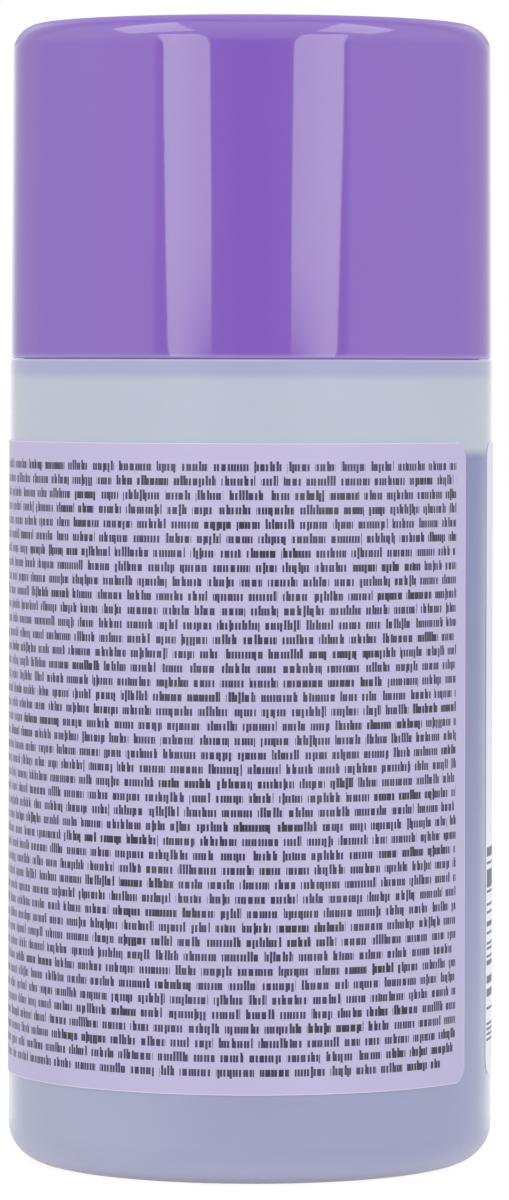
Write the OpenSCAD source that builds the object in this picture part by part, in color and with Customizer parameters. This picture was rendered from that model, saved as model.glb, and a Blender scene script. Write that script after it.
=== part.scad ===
// Nail polish remover bottle: a blow-moulded bottle with two film labels, a push-down
// dish pump screwed on its neck, and a wide overcap that hides the pump.
// The origin is the centre of the base. +Z is up and the back label faces -Y.

/* [Bottle] */
// Outer diameter of the straight wall
body_d = 61.8; // [58:0.2:66]
// Height of the ledge that ends the straight wall
body_h = 102.4; // [98:0.2:112]
// Thickness of the moulded wall
wall = 1.2; // [0.9:0.1:1.5]
// Thickness of the base
base_t = 1.6; // [1.2:0.1:2.2]
// Radius of the rounded foot
foot_round = 5; // [3.6:0.1:6.4]
// Width of the flat ring that the bottle stands on
foot_ring_w = 3.4; // [2.4:0.1:4.6]
// Rise of the domed base at its centre
push_up = 2.2; // [1.4:0.1:3]
// Rounding of the ledge's outer edge
ledge_round = 0.6; // [0.3:0.05:0.9]
// Height of the land that the overcap grips
land_h = 6.6; // [5.4:0.1:8]
// Rounding of the land's top edge
land_round = 0.8; // [0.4:0.05:1.1]
// Width of the flat shelf that the overcap's stops rest on
shelf_w = 2.8; // [2.2:0.1:3.6]
// Rise of the shoulder from the shelf to the foot of the neck
shoulder_rise = 2.4; // [1.8:0.1:3.2]
// Rounding where the shoulder meets the neck
shoulder_round = 0.9; // [0.6:0.1:1]

/* [Neck] */
// Outer diameter of the neck under its thread
neck_d = 29.8; // [27:0.1:32]
// Thickness of the neck's wall
neck_wall = 2.3; // [1.8:0.1:2.8]
// Height of the neck above the shoulder
neck_h = 11.6; // [10.6:0.1:13.6]
// Rounding of the neck's sealing lip
lip_round = 0.4; // [0.2:0.05:0.6]
// Height of the thread's ridge
thread_depth = 1.2; // [0.9:0.05:1.5]
// Width of the transfer ring beyond the neck
ring_w = 1.9; // [1.4:0.1:2.4]
// Thickness of the transfer ring
ring_t = 1.3; // [1:0.1:1.7]
// Height of the transfer ring above the shoulder
ring_lift = 1.2; // [1:0.1:1.5]

/* [Labels] */
// Height of both labels
label_h = 80.5; // [68:0.5:84]
// Height of the labels' lower edge above the base
label_lift = 11.5; // [9.5:0.5:14]
// Bare arc left between the labels' ends
label_gap = 7.9; // [6:0.1:10]
// Thickness of the label film
label_t = 0.1; // [0.08:0.01:0.14]
// Radius of the labels' corners
label_corner = 2.5; // [1.5:0.1:4]
// Angle that the back label's middle is turned to the left of the front view
label_turn = 22; // [0:1:40]

/* [Liquid] */
// Depth of the liquid's surface below the ledge
fill_drop = 11.8; // [9:0.1:20]

/* [Overcap] */
// Amount that the overcap's foot is narrower than the bottle
cap_inset = 0.3; // [0:0.1:0.6]
// Amount that the overcap's side draws in from its foot to its top
cap_taper = 0.16; // [0.1:0.01:0.3]
// Thickness of the overcap's side at its foot
cap_wall = 1.3; // [1:0.1:1.6]
// Thickness of the overcap's top
cap_top_t = 1.6; // [1.2:0.1:2]
// Radius of the overcap's top edge
cap_round = 3.6; // [2.6:0.1:4.6]
// Rounding of the overcap's foot
cap_foot_round = 0.35; // [0.2:0.05:0.5]
// Open line between the overcap's foot and the bottle's ledge
reveal = 0.4; // [0.2:0.05:0.7]
// Free height above the dish inside the overcap
head_room = 5.1; // [4.6:0.1:7]
// Number of grip ribs inside the overcap
cap_ribs = 12; // [8:1:16]
// Thickness of a grip rib
cap_rib_t = 1.2; // [0.8:0.1:1.6]
// Height of a grip rib above the overcap's inner wall
cap_rib_h = 0.4; // [0.3:0.05:0.6]
// Reach of each rib's stop over the shelf
stop_w = 1.8; // [1.4:0.1:2.2]
// Height of each rib's stop above the shelf
stop_h = 5; // [3.5:0.1:7]
// Radius of the moulding gate's dimple in the overcap's ceiling
gate_r = 1.6; // [1:0.1:2.4]
// Depth of the gate's dimple
gate_depth = 0.4; // [0.2:0.05:0.6]

/* [Collar] */
// Thickness of the screw collar's wall under its ribs
collar_wall = 1.9; // [1.5:0.1:2.4]
// Thickness of the collar's top
collar_top_t = 1.6; // [1.2:0.1:2]
// Number of finger ribs on the collar
collar_ribs = 52; // [40:2:72]
// Height of a finger rib
collar_rib_h = 0.6; // [0.4:0.05:0.8]
// Plain height left under and over the ribs
collar_band = 1.3; // [1:0.1:1.8]
// Rounding of the collar's top edge
collar_round = 1; // [0.6:0.1:1.2]
// Gap between the collar's foot and the transfer ring
collar_gap = 0.5; // [0.3:0.1:0.8]

/* [Pump housing] */
// Bore of the pump cylinder
bore_d = 11.5; // [10:0.1:13]
// Thickness of the pump cylinder's wall
housing_wall = 1.25; // [1:0.05:1.5]
// Thickness of the housing's flange
flange_t = 1.6; // [1.2:0.1:2]
// Thickness of the neck gasket
gasket_t = 1; // [0.8:0.05:1.4]
// Depth of the stem guide below the flange's top
guide_depth = 5; // [4:0.1:6]
// Width of the stem guide's flange beyond the pump cylinder
guide_rim_w = 1; // [0.8:0.05:1.2]
// Height of the stem guide above the collar
guide_proud = 0.4; // [0.3:0.05:0.6]
// Length of the return spring as fitted
spring_l = 14.5; // [13:0.1:18]
// Thickness of the lip that keeps the inlet ball in
keeper_t = 1; // [0.8:0.1:1.3]
// Diameter of the inlet ball
inlet_ball_d = 5; // [4.6:0.1:5.6]
// Free lift of the inlet ball
inlet_lift = 1.2; // [0.8:0.1:1.5]
// Length of the narrow throat under a ball's seat
throat_l = 1.2; // [0.8:0.1:1.6]
// Depth of the socket that holds the dip tube
socket_l = 7; // [5:0.1:9]
// Radius of the vent hole in the cylinder
vent_r = 0.6; // [0.4:0.05:0.8]

/* [Dip tube] */
// Outer diameter of the dip tube
tube_d = 5; // [4.4:0.1:5.6]
// Thickness of the dip tube's wall
tube_wall = 0.7; // [0.5:0.05:0.9]
// Height of the tube's tip above the base's dome
tube_end_gap = 2; // [1.4:0.1:4]
// Angle of the slanted cut at the tube's tip
tube_cut = 30; // [20:1:40]

/* [Piston and stem] */
// Travel of the pump
stroke = 5.5; // [4.4:0.1:6.4]
// Outer diameter of the stem
stem_d = 6.6; // [6.2:0.1:7]
// Bore of the stem
stem_bore_d = 3.2; // [2.6:0.1:3.6]
// Height of the piston
piston_h = 6; // [5:0.1:7]
// Height of each sealing lip of the piston
lip_h = 1.4; // [1.1:0.1:1.7]
// Depth of the waist between the piston's lips
waist = 0.9; // [0.6:0.1:1.2]
// Thickness of the stem's foot under the piston
stem_foot_t = 1; // [0.8:0.1:1.4]
// Width of the stem's foot beyond the stem
stem_foot_w = 1.9; // [1.6:0.1:2.1]
// Diameter of the outlet ball
outlet_ball_d = 3.5; // [3.2:0.1:3.8]
// Free lift of the outlet ball
outlet_lift = 0.8; // [0.6:0.1:1.1]
// Diameter of the spring's wire
wire_d = 0.8; // [0.6:0.05:1]
// Turns of the return spring
spring_turns = 6.5; // [5:0.5:8]

/* [Dish] */
// Diameter of the press dish
dish_d = 46; // [42:0.5:49]
// Thickness of the dish's plate
dish_t = 1.2; // [1:0.1:1.5]
// Depth of the dish
dish_depth = 3.2; // [2.6:0.1:3.8]
// Thickness of the dish's rim
dish_rim_t = 1.4; // [1.1:0.1:1.8]
// Length of the lip that hangs under the dish's rim
dish_skirt = 1.5; // [1:0.1:2]
// Rounding between the dish's plate and its rim
dish_round = 1.6; // [1:0.1:2.2]
// Length of the hub under the plate
hub_drop = 0.7; // [0.5:0.1:1]
// Thickness of the hub around the stem
hub_wall = 1.7; // [1.3:0.1:2.2]
// Number of stiffening ribs under the dish
dish_ribs = 8; // [6:1:12]
// Thickness of a stiffening rib
dish_rib_t = 0.9; // [0.7:0.1:1.2]
// Thickness of the web that stops the outlet ball
web_t = 1; // [0.8:0.1:1.2]
// Number of holes through the web
web_holes = 3; // [2:1:4]
// Radius of a hole through the web
web_hole_r = 0.6; // [0.4:0.05:0.7]
// Height of the raised boss around the nozzle
boss_h = 1.2; // [0.9:0.1:1.5]
// Diameter of the nozzle cap's head
nozzle_d = 8.6; // [7.8:0.1:9.4]
// Thickness of the nozzle cap's head
nozzle_t = 0.9; // [0.7:0.1:1.2]
// Number of outlet holes in the nozzle cap
nozzle_holes = 6; // [4:1:8]
// Radius of an outlet hole
nozzle_hole_r = 0.45; // [0.3:0.05:0.55]

/* [Clearances] */
// Running clearance of the piston and the stem, and of the balls at their seats
run_gap = 0.05; // [0.03:0.01:0.08]
// Gap between pieces that are pressed together or touch
fit_gap = 0.02; // [0.01:0.01:0.04]
// Gap between the grip ribs and the land
grip_gap = 0.08; // [0.05:0.01:0.12]
// Gap between loosely nested pieces
loose_gap = 0.25; // [0.15:0.05:0.35]
// Gap kept open at the end of the stroke
stroke_gap = 0.3; // [0.2:0.05:0.5]

/* [Hidden] */
$fn = 32;

// How far a cutting shape runs past what it cuts
overrun = 0.5;

// Facets that a preview shows around a corner's full circle, a small hole or a ball
small_fn = 16;

// Shares of a ball's radius: its seat's throat and the lip that keeps it in
throat_share = 0.62;
keeper_share = 0.88;

// Crest and flanks of a finger rib: shares of the ribs' pitch, then of their height
rib_shares = [[0.14, 0], [0.30, 1], [0.56, 1], [0.72, 0]];

// Colours of the moulded parts
frosted = [0.74, 0.77, 0.83];
lilac_film = [0.76, 0.73, 0.87];
white_film = [0.93, 0.93, 0.95];
violet_plastic = [0.55, 0.41, 0.75];
white_plastic = [0.94, 0.94, 0.93];
natural_plastic = [0.86, 0.88, 0.88];
foam = [0.90, 0.90, 0.86];
liquid_tint = [0.56, 0.58, 0.80, 0.7];
steel = [0.72, 0.73, 0.75];
glass_tint = [0.75, 0.85, 0.85];

// Heights, from the base up
ledge_z = body_h;
land_z = ledge_z + land_h;
neck_z = land_z + shoulder_rise;
lip_z = neck_z + neck_h;
flange_z = lip_z + gasket_t;
flange_top_z = flange_z + flange_t;
collar_top_z = flange_top_z + collar_top_t;
guide_top_z = collar_top_z + guide_proud;
hub_z = guide_top_z + stroke + stroke_gap;
plate_z = hub_z + hub_drop;
plate_top_z = plate_z + dish_t;
rim_z = plate_top_z + dish_depth;
ceiling_z = rim_z + head_room;
cap_top_z = ceiling_z + cap_top_t;
cap_foot_z = ledge_z + reveal;
ring_z = neck_z + ring_lift;
collar_z = ring_z + ring_t + collar_gap;

// Heights inside the pump, from the guide down
stop_z = flange_top_z - guide_depth;
piston_z = stop_z - piston_h;
stem_foot_z = piston_z - stem_foot_t;
spring_seat_z = stem_foot_z - spring_l;
keeper_z = spring_seat_z - keeper_t;
inlet_ball_z = keeper_z - inlet_lift - inlet_ball_d / 2;
inlet_apex_z = inlet_ball_z - (inlet_ball_d / 2 + run_gap) * sqrt(2);

// Radii of the bottle and the overcap
body_r = body_d / 2;
body_in_r = body_r - wall;
cap_foot_r = body_r - cap_inset / 2;
cap_in_r = cap_foot_r - cap_wall;
grip_r = cap_in_r - cap_rib_h;
land_r = grip_r - grip_gap;
land_in_r = land_r - wall;
shelf_r = land_r - shelf_w;
stop_r = land_r - stop_w;
neck_r = neck_d / 2;
neck_in_r = neck_r - neck_wall;
shoulder_r = neck_r + shoulder_round * 2;
dome_r = body_r - foot_round - foot_ring_w;
dome_sphere_r = (dome_r * dome_r + push_up * push_up) / (2 * push_up);

// Radii of the pump
bore_r = bore_d / 2;
housing_r = bore_r + housing_wall;
guide_rim_r = housing_r + guide_rim_w;
flange_r = neck_r - fit_gap;
collar_in_r = neck_r + thread_depth + loose_gap;
collar_r = collar_in_r + collar_wall;
collar_hole_r = guide_rim_r + loose_gap;
stem_r = stem_d / 2;
stem_bore_r = stem_bore_d / 2;
stem_foot_r = stem_r + stem_foot_w;
piston_r = bore_r - run_gap;
spring_r = stem_foot_r - wire_d / 2;
inlet_r = inlet_ball_d / 2;
inlet_chamber_r = inlet_r + 2 * loose_gap;
inlet_throat_r = inlet_r * throat_share;
inlet_keeper_r = inlet_r * keeper_share;
inlet_throat_z = inlet_apex_z + inlet_throat_r;
tube_top_z = inlet_throat_z - throat_l;
socket_z = tube_top_z - socket_l;
socket_r = tube_d / 2 + housing_wall;
chamber_out_r = inlet_chamber_r + housing_wall;
tube_r = tube_d / 2;
tube_z = push_up + base_t + tube_end_gap;

// The dish and what its hub holds
dish_r = dish_d / 2;
hub_r = stem_r + hub_wall;
web_z = plate_top_z - web_t;
stem_top_z = web_z - fit_gap;
outlet_r = outlet_ball_d / 2;
outlet_chamber_r = outlet_r + loose_gap * 2;
outlet_throat_r = outlet_r * throat_share;
outlet_ball_z = stem_top_z - outlet_lift - outlet_r;
outlet_apex_z = outlet_ball_z - (outlet_r + run_gap) * sqrt(2);
outlet_throat_z = outlet_apex_z + outlet_throat_r;
boss_z = plate_top_z + boss_h;
nozzle_r = nozzle_d / 2;
nozzle_shank_r = nozzle_r - hub_wall / 2;
boss_r = nozzle_r + loose_gap;
web_hole_at = stem_bore_r - web_hole_r / 2;

// The labels' place, the angle that each covers, and how its corners' arcs meet its edges
label_in_r = body_r + fit_gap;
label_kink = 6;
gap_angle = label_gap / body_r * 180 / PI;
label_angle = 180 - gap_angle;
back_label_mid = -90 - label_turn;
fill_z = ledge_z - fill_drop;

// Rings in each turn of the spring's wire, and sides of the wire
spring_steps = 8;
spring_sides = 6;
spring_rise = spring_l - wire_d - 2 * fit_gap;
spring_pitch = spring_rise / spring_turns;
spring_last = spring_turns * spring_steps;

// Unit vector from a to b, and the left normal of a vector
function unit(v) = v / norm(v);
function cross2(a, b) = a[0] * b[1] - a[1] * b[0];
function xy(p) = [p[0], p[1]];

// Where a corner's arc starts and ends, and its centre.
// A corner is [x, y, radius] and lies between the corners before and after it.
function arc_of(before, corner, after) =
    let (
        to_before = unit(xy(before) - xy(corner)),
        to_after = unit(xy(after) - xy(corner)),
        half = acos(to_before * to_after) / 2,
        leg = corner[2] / tan(half),
        middle = unit(to_before + to_after)
    )
    [
        xy(corner) + to_before * leg,
        xy(corner) + middle * corner[2] / sin(half),
        xy(corner) + to_after * leg
    ];
function corner_at(corners, i) = corners[(i + len(corners)) % len(corners)];
function arc_at(corners, i) =
    arc_of(corner_at(corners, i - 1), corners[i], corner_at(corners, i + 1));
function turns_left(corners, i) =
    cross2(
        xy(corners[i]) - xy(corner_at(corners, i - 1)),
        xy(corner_at(corners, i + 1)) - xy(corners[i])
    ) > 0;

// What a corner's arc adds to a hollow corner or takes off a solid one.
// It runs past the sharp corner, so that it never shares an edge with the outline.
module corner_bit(corners, i) {
    arc = arc_at(corners, i);
    past = xy(corners[i]) + unit(xy(corners[i]) - arc[1]) * overrun;
    difference() {
        polygon([arc[0], past, arc[2], arc[1]]);
        translate(arc[1]) circle(corners[i][2], $fn = small_fn);
    }
}

// A closed outline, counterclockwise, whose corners [x, y, radius] are rounded with true arcs
module outline(corners) {
    rounded = [for (i = [0 : len(corners) - 1]) if (corners[i][2] > 0) i];
    difference() {
        union() {
            polygon([for (corner = corners) xy(corner)]);
            for (i = rounded)
                if (!turns_left(corners, i)) corner_bit(corners, i);
        }
        for (i = rounded)
            if (turns_left(corners, i)) corner_bit(corners, i);
    }
}

// A ring with a rectangular section
module ring(inner, outer, low, high) {
    rotate_extrude() translate([inner, low]) square([outer - inner, high - low]);
}

// The bottle's outside: body, foot, ledge, land, shelf, shoulder and neck
module bottle_outside() {
    outline([
        [0, 0, 0],
        [body_r, 0, foot_round],
        [body_r, ledge_z, ledge_round],
        [land_r, ledge_z, 0],
        [land_r, land_z, land_round],
        [shelf_r, land_z, 0],
        [shoulder_r, neck_z, 0],
        [neck_r, neck_z, shoulder_round],
        [neck_r, lip_z, lip_round],
        [0, lip_z, 0]
    ]);
    translate([neck_in_r + neck_wall / 2, ring_z])
        outline([
            [0, 0, 0],
            [neck_wall / 2 + ring_w, 0, lip_round],
            [neck_wall / 2 + ring_w, ring_t, lip_round],
            [0, ring_t, 0]
        ]);
}

// The bottle's inside, from its floor to its mouth
module bottle_inside() {
    outline([
        [0, base_t, 0],
        [body_in_r, base_t, foot_round - wall],
        [body_in_r, ledge_z - wall, 0],
        [land_in_r, ledge_z - wall, 0],
        [land_in_r, land_z - wall, land_round],
        [shelf_r - wall, land_z - wall, 0],
        [neck_in_r, neck_z - wall, 0],
        [neck_in_r, lip_z + overrun, 0],
        [0, lip_z + overrun, 0]
    ]);
}

// Half of the section of the base's shallow dome, with its top at the given height
module dome(radius, top) {
    intersection() {
        translate([0, top - radius]) circle(radius, $fn = 3 * $fn);
        square([body_r, top + overrun]);
    }
}

module bottle() {
    color(frosted) difference() {
        union() {
            rotate_extrude() difference() {
                bottle_outside();
                bottle_inside();
            }
            rotate_extrude() intersection() {
                dome(dome_sphere_r + base_t, push_up + base_t);
                square([dome_r, push_up + base_t + overrun]);
            }
        }
        rotate_extrude() union() {
            dome(dome_sphere_r, push_up);
            translate([0, -overrun]) square([dome_r, overrun]);
        }
    }
}

// The cut that rounds one corner of a label, at the given angle and height.
// Its arc meets the label's edges at a slight angle, not quite along them.
module label_corner_cut(angle, height, side, up) {
    reach = label_corner * cos(label_kink);
    rotate([0, 0, angle]) translate([label_in_r - overrun, 0, height])
        rotate([90, 0, 90])
            linear_extrude(label_t + 2 * overrun) difference() {
                polygon([
                    [side * overrun, up * overrun],
                    [-side * reach, up * overrun],
                    [-side * reach, -up * reach],
                    [side * overrun, -up * reach]
                ]);
                translate([-side * reach, -up * reach]) circle(label_corner);
            }
}

// A film label that wraps the body, with its middle at the given angle
module label(middle) {
    low = middle - label_angle / 2;
    high = middle + label_angle / 2;
    difference() {
        rotate([0, 0, low]) rotate_extrude(angle = label_angle)
            translate([label_in_r, label_lift]) square([label_t, label_h]);
        label_corner_cut(low, label_lift, -1, -1);
        label_corner_cut(low, label_lift + label_h, -1, 1);
        label_corner_cut(high, label_lift, 1, -1);
        label_corner_cut(high, label_lift + label_h, 1, 1);
    }
}

module back_label() {
    color(lilac_film) label(back_label_mid);
}

module front_label() {
    color(white_film) label(back_label_mid + 180);
}

// The liquid: it fills the bottle up to its level, around the pump and the dip tube
module remover_liquid() {
    liquid_r = body_in_r - fit_gap;
    color(liquid_tint) difference() {
        rotate_extrude() difference() {
            outline([
                [0, base_t + fit_gap, 0],
                [liquid_r, base_t + fit_gap, foot_round - wall],
                [liquid_r, fill_z, 0],
                [0, fill_z, 0]
            ]);
            dome(dome_sphere_r + base_t + fit_gap, push_up + base_t + fit_gap);
        }
        translate([0, 0, -overrun])
            cylinder(h = fill_z + 2 * overrun, r = tube_r + loose_gap);
        rotate_extrude() housing_section(loose_gap);
    }
}

// The overcap's section. Its side draws in between two short straight bands,
// so that the rounded corners meet straight edges.
module overcap_section() {
    band = 2 * cap_foot_round;
    top_r = cap_foot_r - cap_taper;
    in_top_r = cap_in_r - cap_taper;
    outline([
        [cap_foot_r, cap_foot_z, cap_foot_round],
        [cap_foot_r, cap_foot_z + band, 0],
        [top_r, cap_top_z - cap_round - band, 0],
        [top_r, cap_top_z, cap_round],
        [0, cap_top_z, 0],
        [0, ceiling_z, 0],
        [in_top_r, ceiling_z, cap_round - cap_wall],
        [in_top_r, cap_top_z - cap_round - band, 0],
        [cap_in_r, cap_foot_z + band, 0],
        [cap_in_r, cap_foot_z, cap_foot_round]
    ]);
}

// One grip rib: it rubs on the land and its stop rests on the shelf.
// Its root lies in the middle of the wall, and both of its ends slope out of the wall.
module grip_rib() {
    root_r = cap_in_r + cap_wall / 2;
    rib_z = cap_foot_z + cap_wall;
    rotate([90, 0, 0]) translate([0, 0, -cap_rib_t / 2])
        linear_extrude(cap_rib_t) polygon([
            [root_r, rib_z],
            [grip_r, rib_z + cap_rib_h + cap_wall / 2],
            [grip_r, land_z],
            [stop_r, land_z],
            [stop_r, land_z + cap_rib_t],
            [root_r, land_z + stop_h]
        ]);
}

module overcap() {
    color(violet_plastic) difference() {
        union() {
            rotate_extrude() overcap_section();
            for (i = [0 : cap_ribs - 1])
                rotate([0, 0, (i + 1 / 2) * 360 / cap_ribs]) grip_rib();
        }
        translate([0, 0, ceiling_z - overrun])
            cylinder(h = gate_depth + overrun, r = gate_r);
    }
}

// The screw collar: a ribbed skirt with a hole for the stem guide in its top
module collar_section() {
    outline([
        [collar_in_r, collar_z, 0],
        [collar_r, collar_z, lip_round],
        [collar_r, collar_top_z, collar_round],
        [collar_hole_r, collar_top_z, 0],
        [collar_hole_r, flange_top_z, 0],
        [collar_in_r, flange_top_z, 0]
    ]);
}

// The ribbed outline of the collar: each rib has a flat crest and sloping flanks
module collar_teeth() {
    step = 360 / collar_ribs;
    polygon([
        for (i = [0 : collar_ribs - 1], s = rib_shares)
            let (
                a = (i + s[0]) * step,
                r = collar_r - lip_round + s[1] * (collar_rib_h + lip_round)
            )
            r * [cos(a), sin(a)]
    ]);
}

module screw_collar() {
    color(white_plastic) union() {
        rotate_extrude() collar_section();
        translate([0, 0, collar_z + collar_band])
            linear_extrude(collar_top_z - collar_z - 2 * collar_band) difference() {
                collar_teeth();
                circle(collar_r - collar_wall / 2);
            }
    }
}

module neck_gasket() {
    color(foam) ring(housing_r + fit_gap, flange_r, lip_z + fit_gap, flange_z - fit_gap);
}

// Outside of the pump housing, grown by a gap where another piece has to clear it
module housing_section(grow) {
    outline([
        [0, socket_z - grow, 0],
        [socket_r + grow, socket_z - grow, 0],
        [socket_r + grow, tube_top_z, 0],
        [chamber_out_r + grow, inlet_throat_z, 0],
        [chamber_out_r + grow, keeper_z - housing_wall, 0],
        [housing_r + grow, spring_seat_z, 0],
        [housing_r + grow, flange_z, 0],
        [flange_r, flange_z, 0],
        [flange_r, flange_top_z, 0],
        [0, flange_top_z, 0]
    ]);
}

// Inside of the pump housing: cylinder, keeper lip, ball chamber and seat, throat, tube socket
module housing_cavity() {
    polygon([
        [0, socket_z - overrun],
        [tube_r + fit_gap, socket_z - overrun],
        [tube_r + fit_gap, tube_top_z],
        [inlet_throat_r, tube_top_z],
        [inlet_throat_r, inlet_throat_z],
        [inlet_chamber_r, inlet_apex_z + inlet_chamber_r],
        [inlet_chamber_r, keeper_z],
        [inlet_keeper_r, keeper_z],
        [inlet_keeper_r, spring_seat_z],
        [bore_r, spring_seat_z],
        [bore_r, flange_top_z + overrun],
        [0, flange_top_z + overrun]
    ]);
}

module pump_housing() {
    color(natural_plastic) difference() {
        rotate_extrude() difference() {
            housing_section(0);
            housing_cavity();
        }
        translate([0, 0, stop_z - stroke / 2]) rotate([0, 90, 0])
            cylinder(h = housing_r + overrun, r = vent_r, $fn = small_fn);
    }
}

// The stem guide: it snaps into the cylinder's mouth and stops the piston's rise
module stem_guide() {
    bore = stem_r + run_gap;
    sleeve_r = bore_r - fit_gap;
    color(white_plastic) rotate_extrude() outline([
        [bore, stop_z, 0],
        [sleeve_r, stop_z, 0],
        [sleeve_r, flange_top_z + fit_gap, 0],
        [guide_rim_r, flange_top_z + fit_gap, 0],
        [guide_rim_r, guide_top_z, lip_round],
        [bore, guide_top_z, 0]
    ]);
}

// The dip tube, with a slanted cut at its tip
module dip_tube() {
    color(natural_plastic) difference() {
        ring(tube_r - tube_wall, tube_r, tube_z, tube_top_z - fit_gap);
        translate([-tube_r, 0, tube_z]) rotate([0, -tube_cut, 0])
            translate([-tube_d, -tube_d, -2 * tube_d])
                cube([4 * tube_d, 2 * tube_d, 2 * tube_d]);
    }
}

// Points of the spring's wire: a helix of constant pitch
function spring_axis(k) =
    let (a = 360 * k / spring_steps, share = k / spring_last)
    [
        spring_r * cos(a),
        spring_r * sin(a),
        spring_seat_z + fit_gap + wire_d / 2 + share * spring_rise
    ];
function spring_ring(k) =
    let (
        a = 360 * k / spring_steps,
        lean = atan2(spring_pitch, 2 * PI * spring_r),
        out = [cos(a), sin(a), 0],
        up = [sin(a) * sin(lean), -cos(a) * sin(lean), cos(lean)]
    )
    [
        for (j = [0 : spring_sides - 1])
            spring_axis(k)
            + wire_d / 2 * (cos(360 * j / spring_sides) * out + sin(360 * j / spring_sides) * up)
    ];

module return_spring() {
    points = [for (k = [0 : spring_last]) each spring_ring(k)];
    sides = [
        for (k = [0 : spring_last - 1], j = [0 : spring_sides - 1])
            let (
                n = (j + 1) % spring_sides,
                a = k * spring_sides + j,
                b = k * spring_sides + n
            )
            each [[a, a + spring_sides, b], [b, a + spring_sides, b + spring_sides]]
    ];
    start = [for (j = [0 : spring_sides - 1]) j];
    finish = [for (j = [spring_sides - 1 : -1 : 0]) spring_last * spring_sides + j];
    color(steel) polyhedron(points, concat(sides, [start, finish]));
}

module inlet_ball() {
    color(glass_tint) translate([0, 0, inlet_ball_z]) sphere(inlet_r, $fn = small_fn);
}

// The hollow stem: its foot carries the piston and its top holds the outlet ball
module pump_stem() {
    color(white_plastic) rotate_extrude() difference() {
        outline([
            [0, stem_foot_z, 0],
            [stem_foot_r, stem_foot_z, 0],
            [stem_foot_r, piston_z - fit_gap, 0],
            [stem_r, piston_z - fit_gap, 0],
            [stem_r, stem_top_z, 0],
            [0, stem_top_z, 0]
        ]);
        polygon([
            [0, stem_foot_z - overrun],
            [stem_bore_r, stem_foot_z - overrun],
            [stem_bore_r, outlet_throat_z - throat_l],
            [outlet_throat_r, outlet_throat_z - throat_l],
            [outlet_throat_r, outlet_throat_z],
            [outlet_chamber_r, outlet_apex_z + outlet_chamber_r],
            [outlet_chamber_r, stem_top_z + overrun],
            [0, stem_top_z + overrun]
        ]);
    }
}

// The piston: two sealing lips with a waist between them
module piston() {
    inner = stem_r + fit_gap;
    top = stop_z - fit_gap;
    color(natural_plastic) rotate_extrude() polygon([
        [inner, piston_z],
        [piston_r, piston_z],
        [piston_r, piston_z + lip_h / 2],
        [piston_r - waist, piston_z + lip_h],
        [piston_r - waist, top - lip_h],
        [piston_r, top - lip_h / 2],
        [piston_r, top],
        [inner, top]
    ]);
}

// The press dish: plate, rim with a hanging lip, boss for the nozzle and hub for the stem
module dish_section() {
    union() {
        outline([
            [0, plate_z, 0],
            [dish_r - dish_rim_t, plate_z, 0],
            [dish_r - dish_rim_t, plate_z - dish_skirt, 0],
            [dish_r, plate_z - dish_skirt, 0],
            [dish_r, rim_z, dish_rim_t / 3],
            [dish_r - dish_rim_t, rim_z, dish_rim_t / 3],
            [dish_r - dish_rim_t, plate_top_z, dish_round],
            [0, plate_top_z, 0]
        ]);
        translate([0, hub_z]) square([hub_r, plate_z - hub_z]);
        translate([0, plate_top_z]) square([boss_r, boss_h]);
    }
}

module dish_cavity() {
    polygon([
        [0, hub_z - overrun],
        [stem_r + fit_gap, hub_z - overrun],
        [stem_r + fit_gap, web_z],
        [0, web_z]
    ]);
    translate([0, plate_top_z]) square([nozzle_shank_r + fit_gap, boss_h + overrun]);
}

module press_dish() {
    rib_reach = dish_r - dish_rim_t / 2;
    color(white_plastic) difference() {
        union() {
            rotate_extrude() dish_section();
            for (i = [0 : dish_ribs - 1])
                rotate([0, 0, i * 360 / dish_ribs])
                    translate([hub_r - hub_wall / 2, -dish_rib_t / 2, hub_z])
                        cube([rib_reach - hub_r + hub_wall / 2, dish_rib_t, hub_drop + dish_t / 2]);
        }
        rotate_extrude() dish_cavity();
        for (i = [0 : web_holes - 1])
            rotate([0, 0, i * 360 / web_holes]) translate([web_hole_at, 0, web_z - overrun])
                cylinder(h = web_t + 2 * overrun, r = web_hole_r, $fn = small_fn);
    }
}

// The nozzle cap: a low button pressed into the dish, with a ring of outlet holes
module nozzle_cap() {
    head_z = boss_z + fit_gap;
    holes_at = nozzle_shank_r / 2;
    color(white_plastic) difference() {
        rotate_extrude() union() {
            outline([
                [0, head_z, 0],
                [nozzle_r, head_z, 0],
                [nozzle_r, head_z + nozzle_t, nozzle_t / 2],
                [0, head_z + nozzle_t, 0]
            ]);
            translate([nozzle_shank_r - hub_wall / 2, plate_top_z + fit_gap])
                square([hub_wall / 2, head_z - plate_top_z]);
        }
        for (i = [0 : nozzle_holes - 1])
            rotate([0, 0, i * 360 / nozzle_holes]) translate([holes_at, 0, head_z - overrun])
                cylinder(h = nozzle_t + 2 * overrun, r = nozzle_hole_r, $fn = small_fn);
    }
}

module outlet_ball() {
    color(glass_tint) translate([0, 0, outlet_ball_z]) sphere(outlet_r, $fn = small_fn);
}

// Least gap between two turns of the spring, measured on the wire's points
spring_gap = min([
    for (i = [0 : spring_last - spring_steps / 2], j = [i + spring_steps / 2 : spring_last])
        norm(spring_axis(i) - spring_axis(j)) - wire_d
]);
echo(spring_gap = spring_gap, total_height = cap_top_z);

bottle();
back_label();
front_label();
remover_liquid();
overcap();
screw_collar();
neck_gasket();
pump_housing();
stem_guide();
dip_tube();
return_spring();
inlet_ball();
pump_stem();
piston();
press_dish();
nozzle_cap();
outlet_ball();
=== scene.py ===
"""Looks of a nail polish remover bottle whose overcap hides a push-down dish pump.

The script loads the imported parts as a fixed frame, models the pieces that show, gives each
piece and each part that stays a node material, and sets up the floor, lights and camera.
Sizes are in millimetres and become metres where a mesh is made. Angles are in degrees,
measured from +X towards +Y, and the back label faces -Y.
"""

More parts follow.
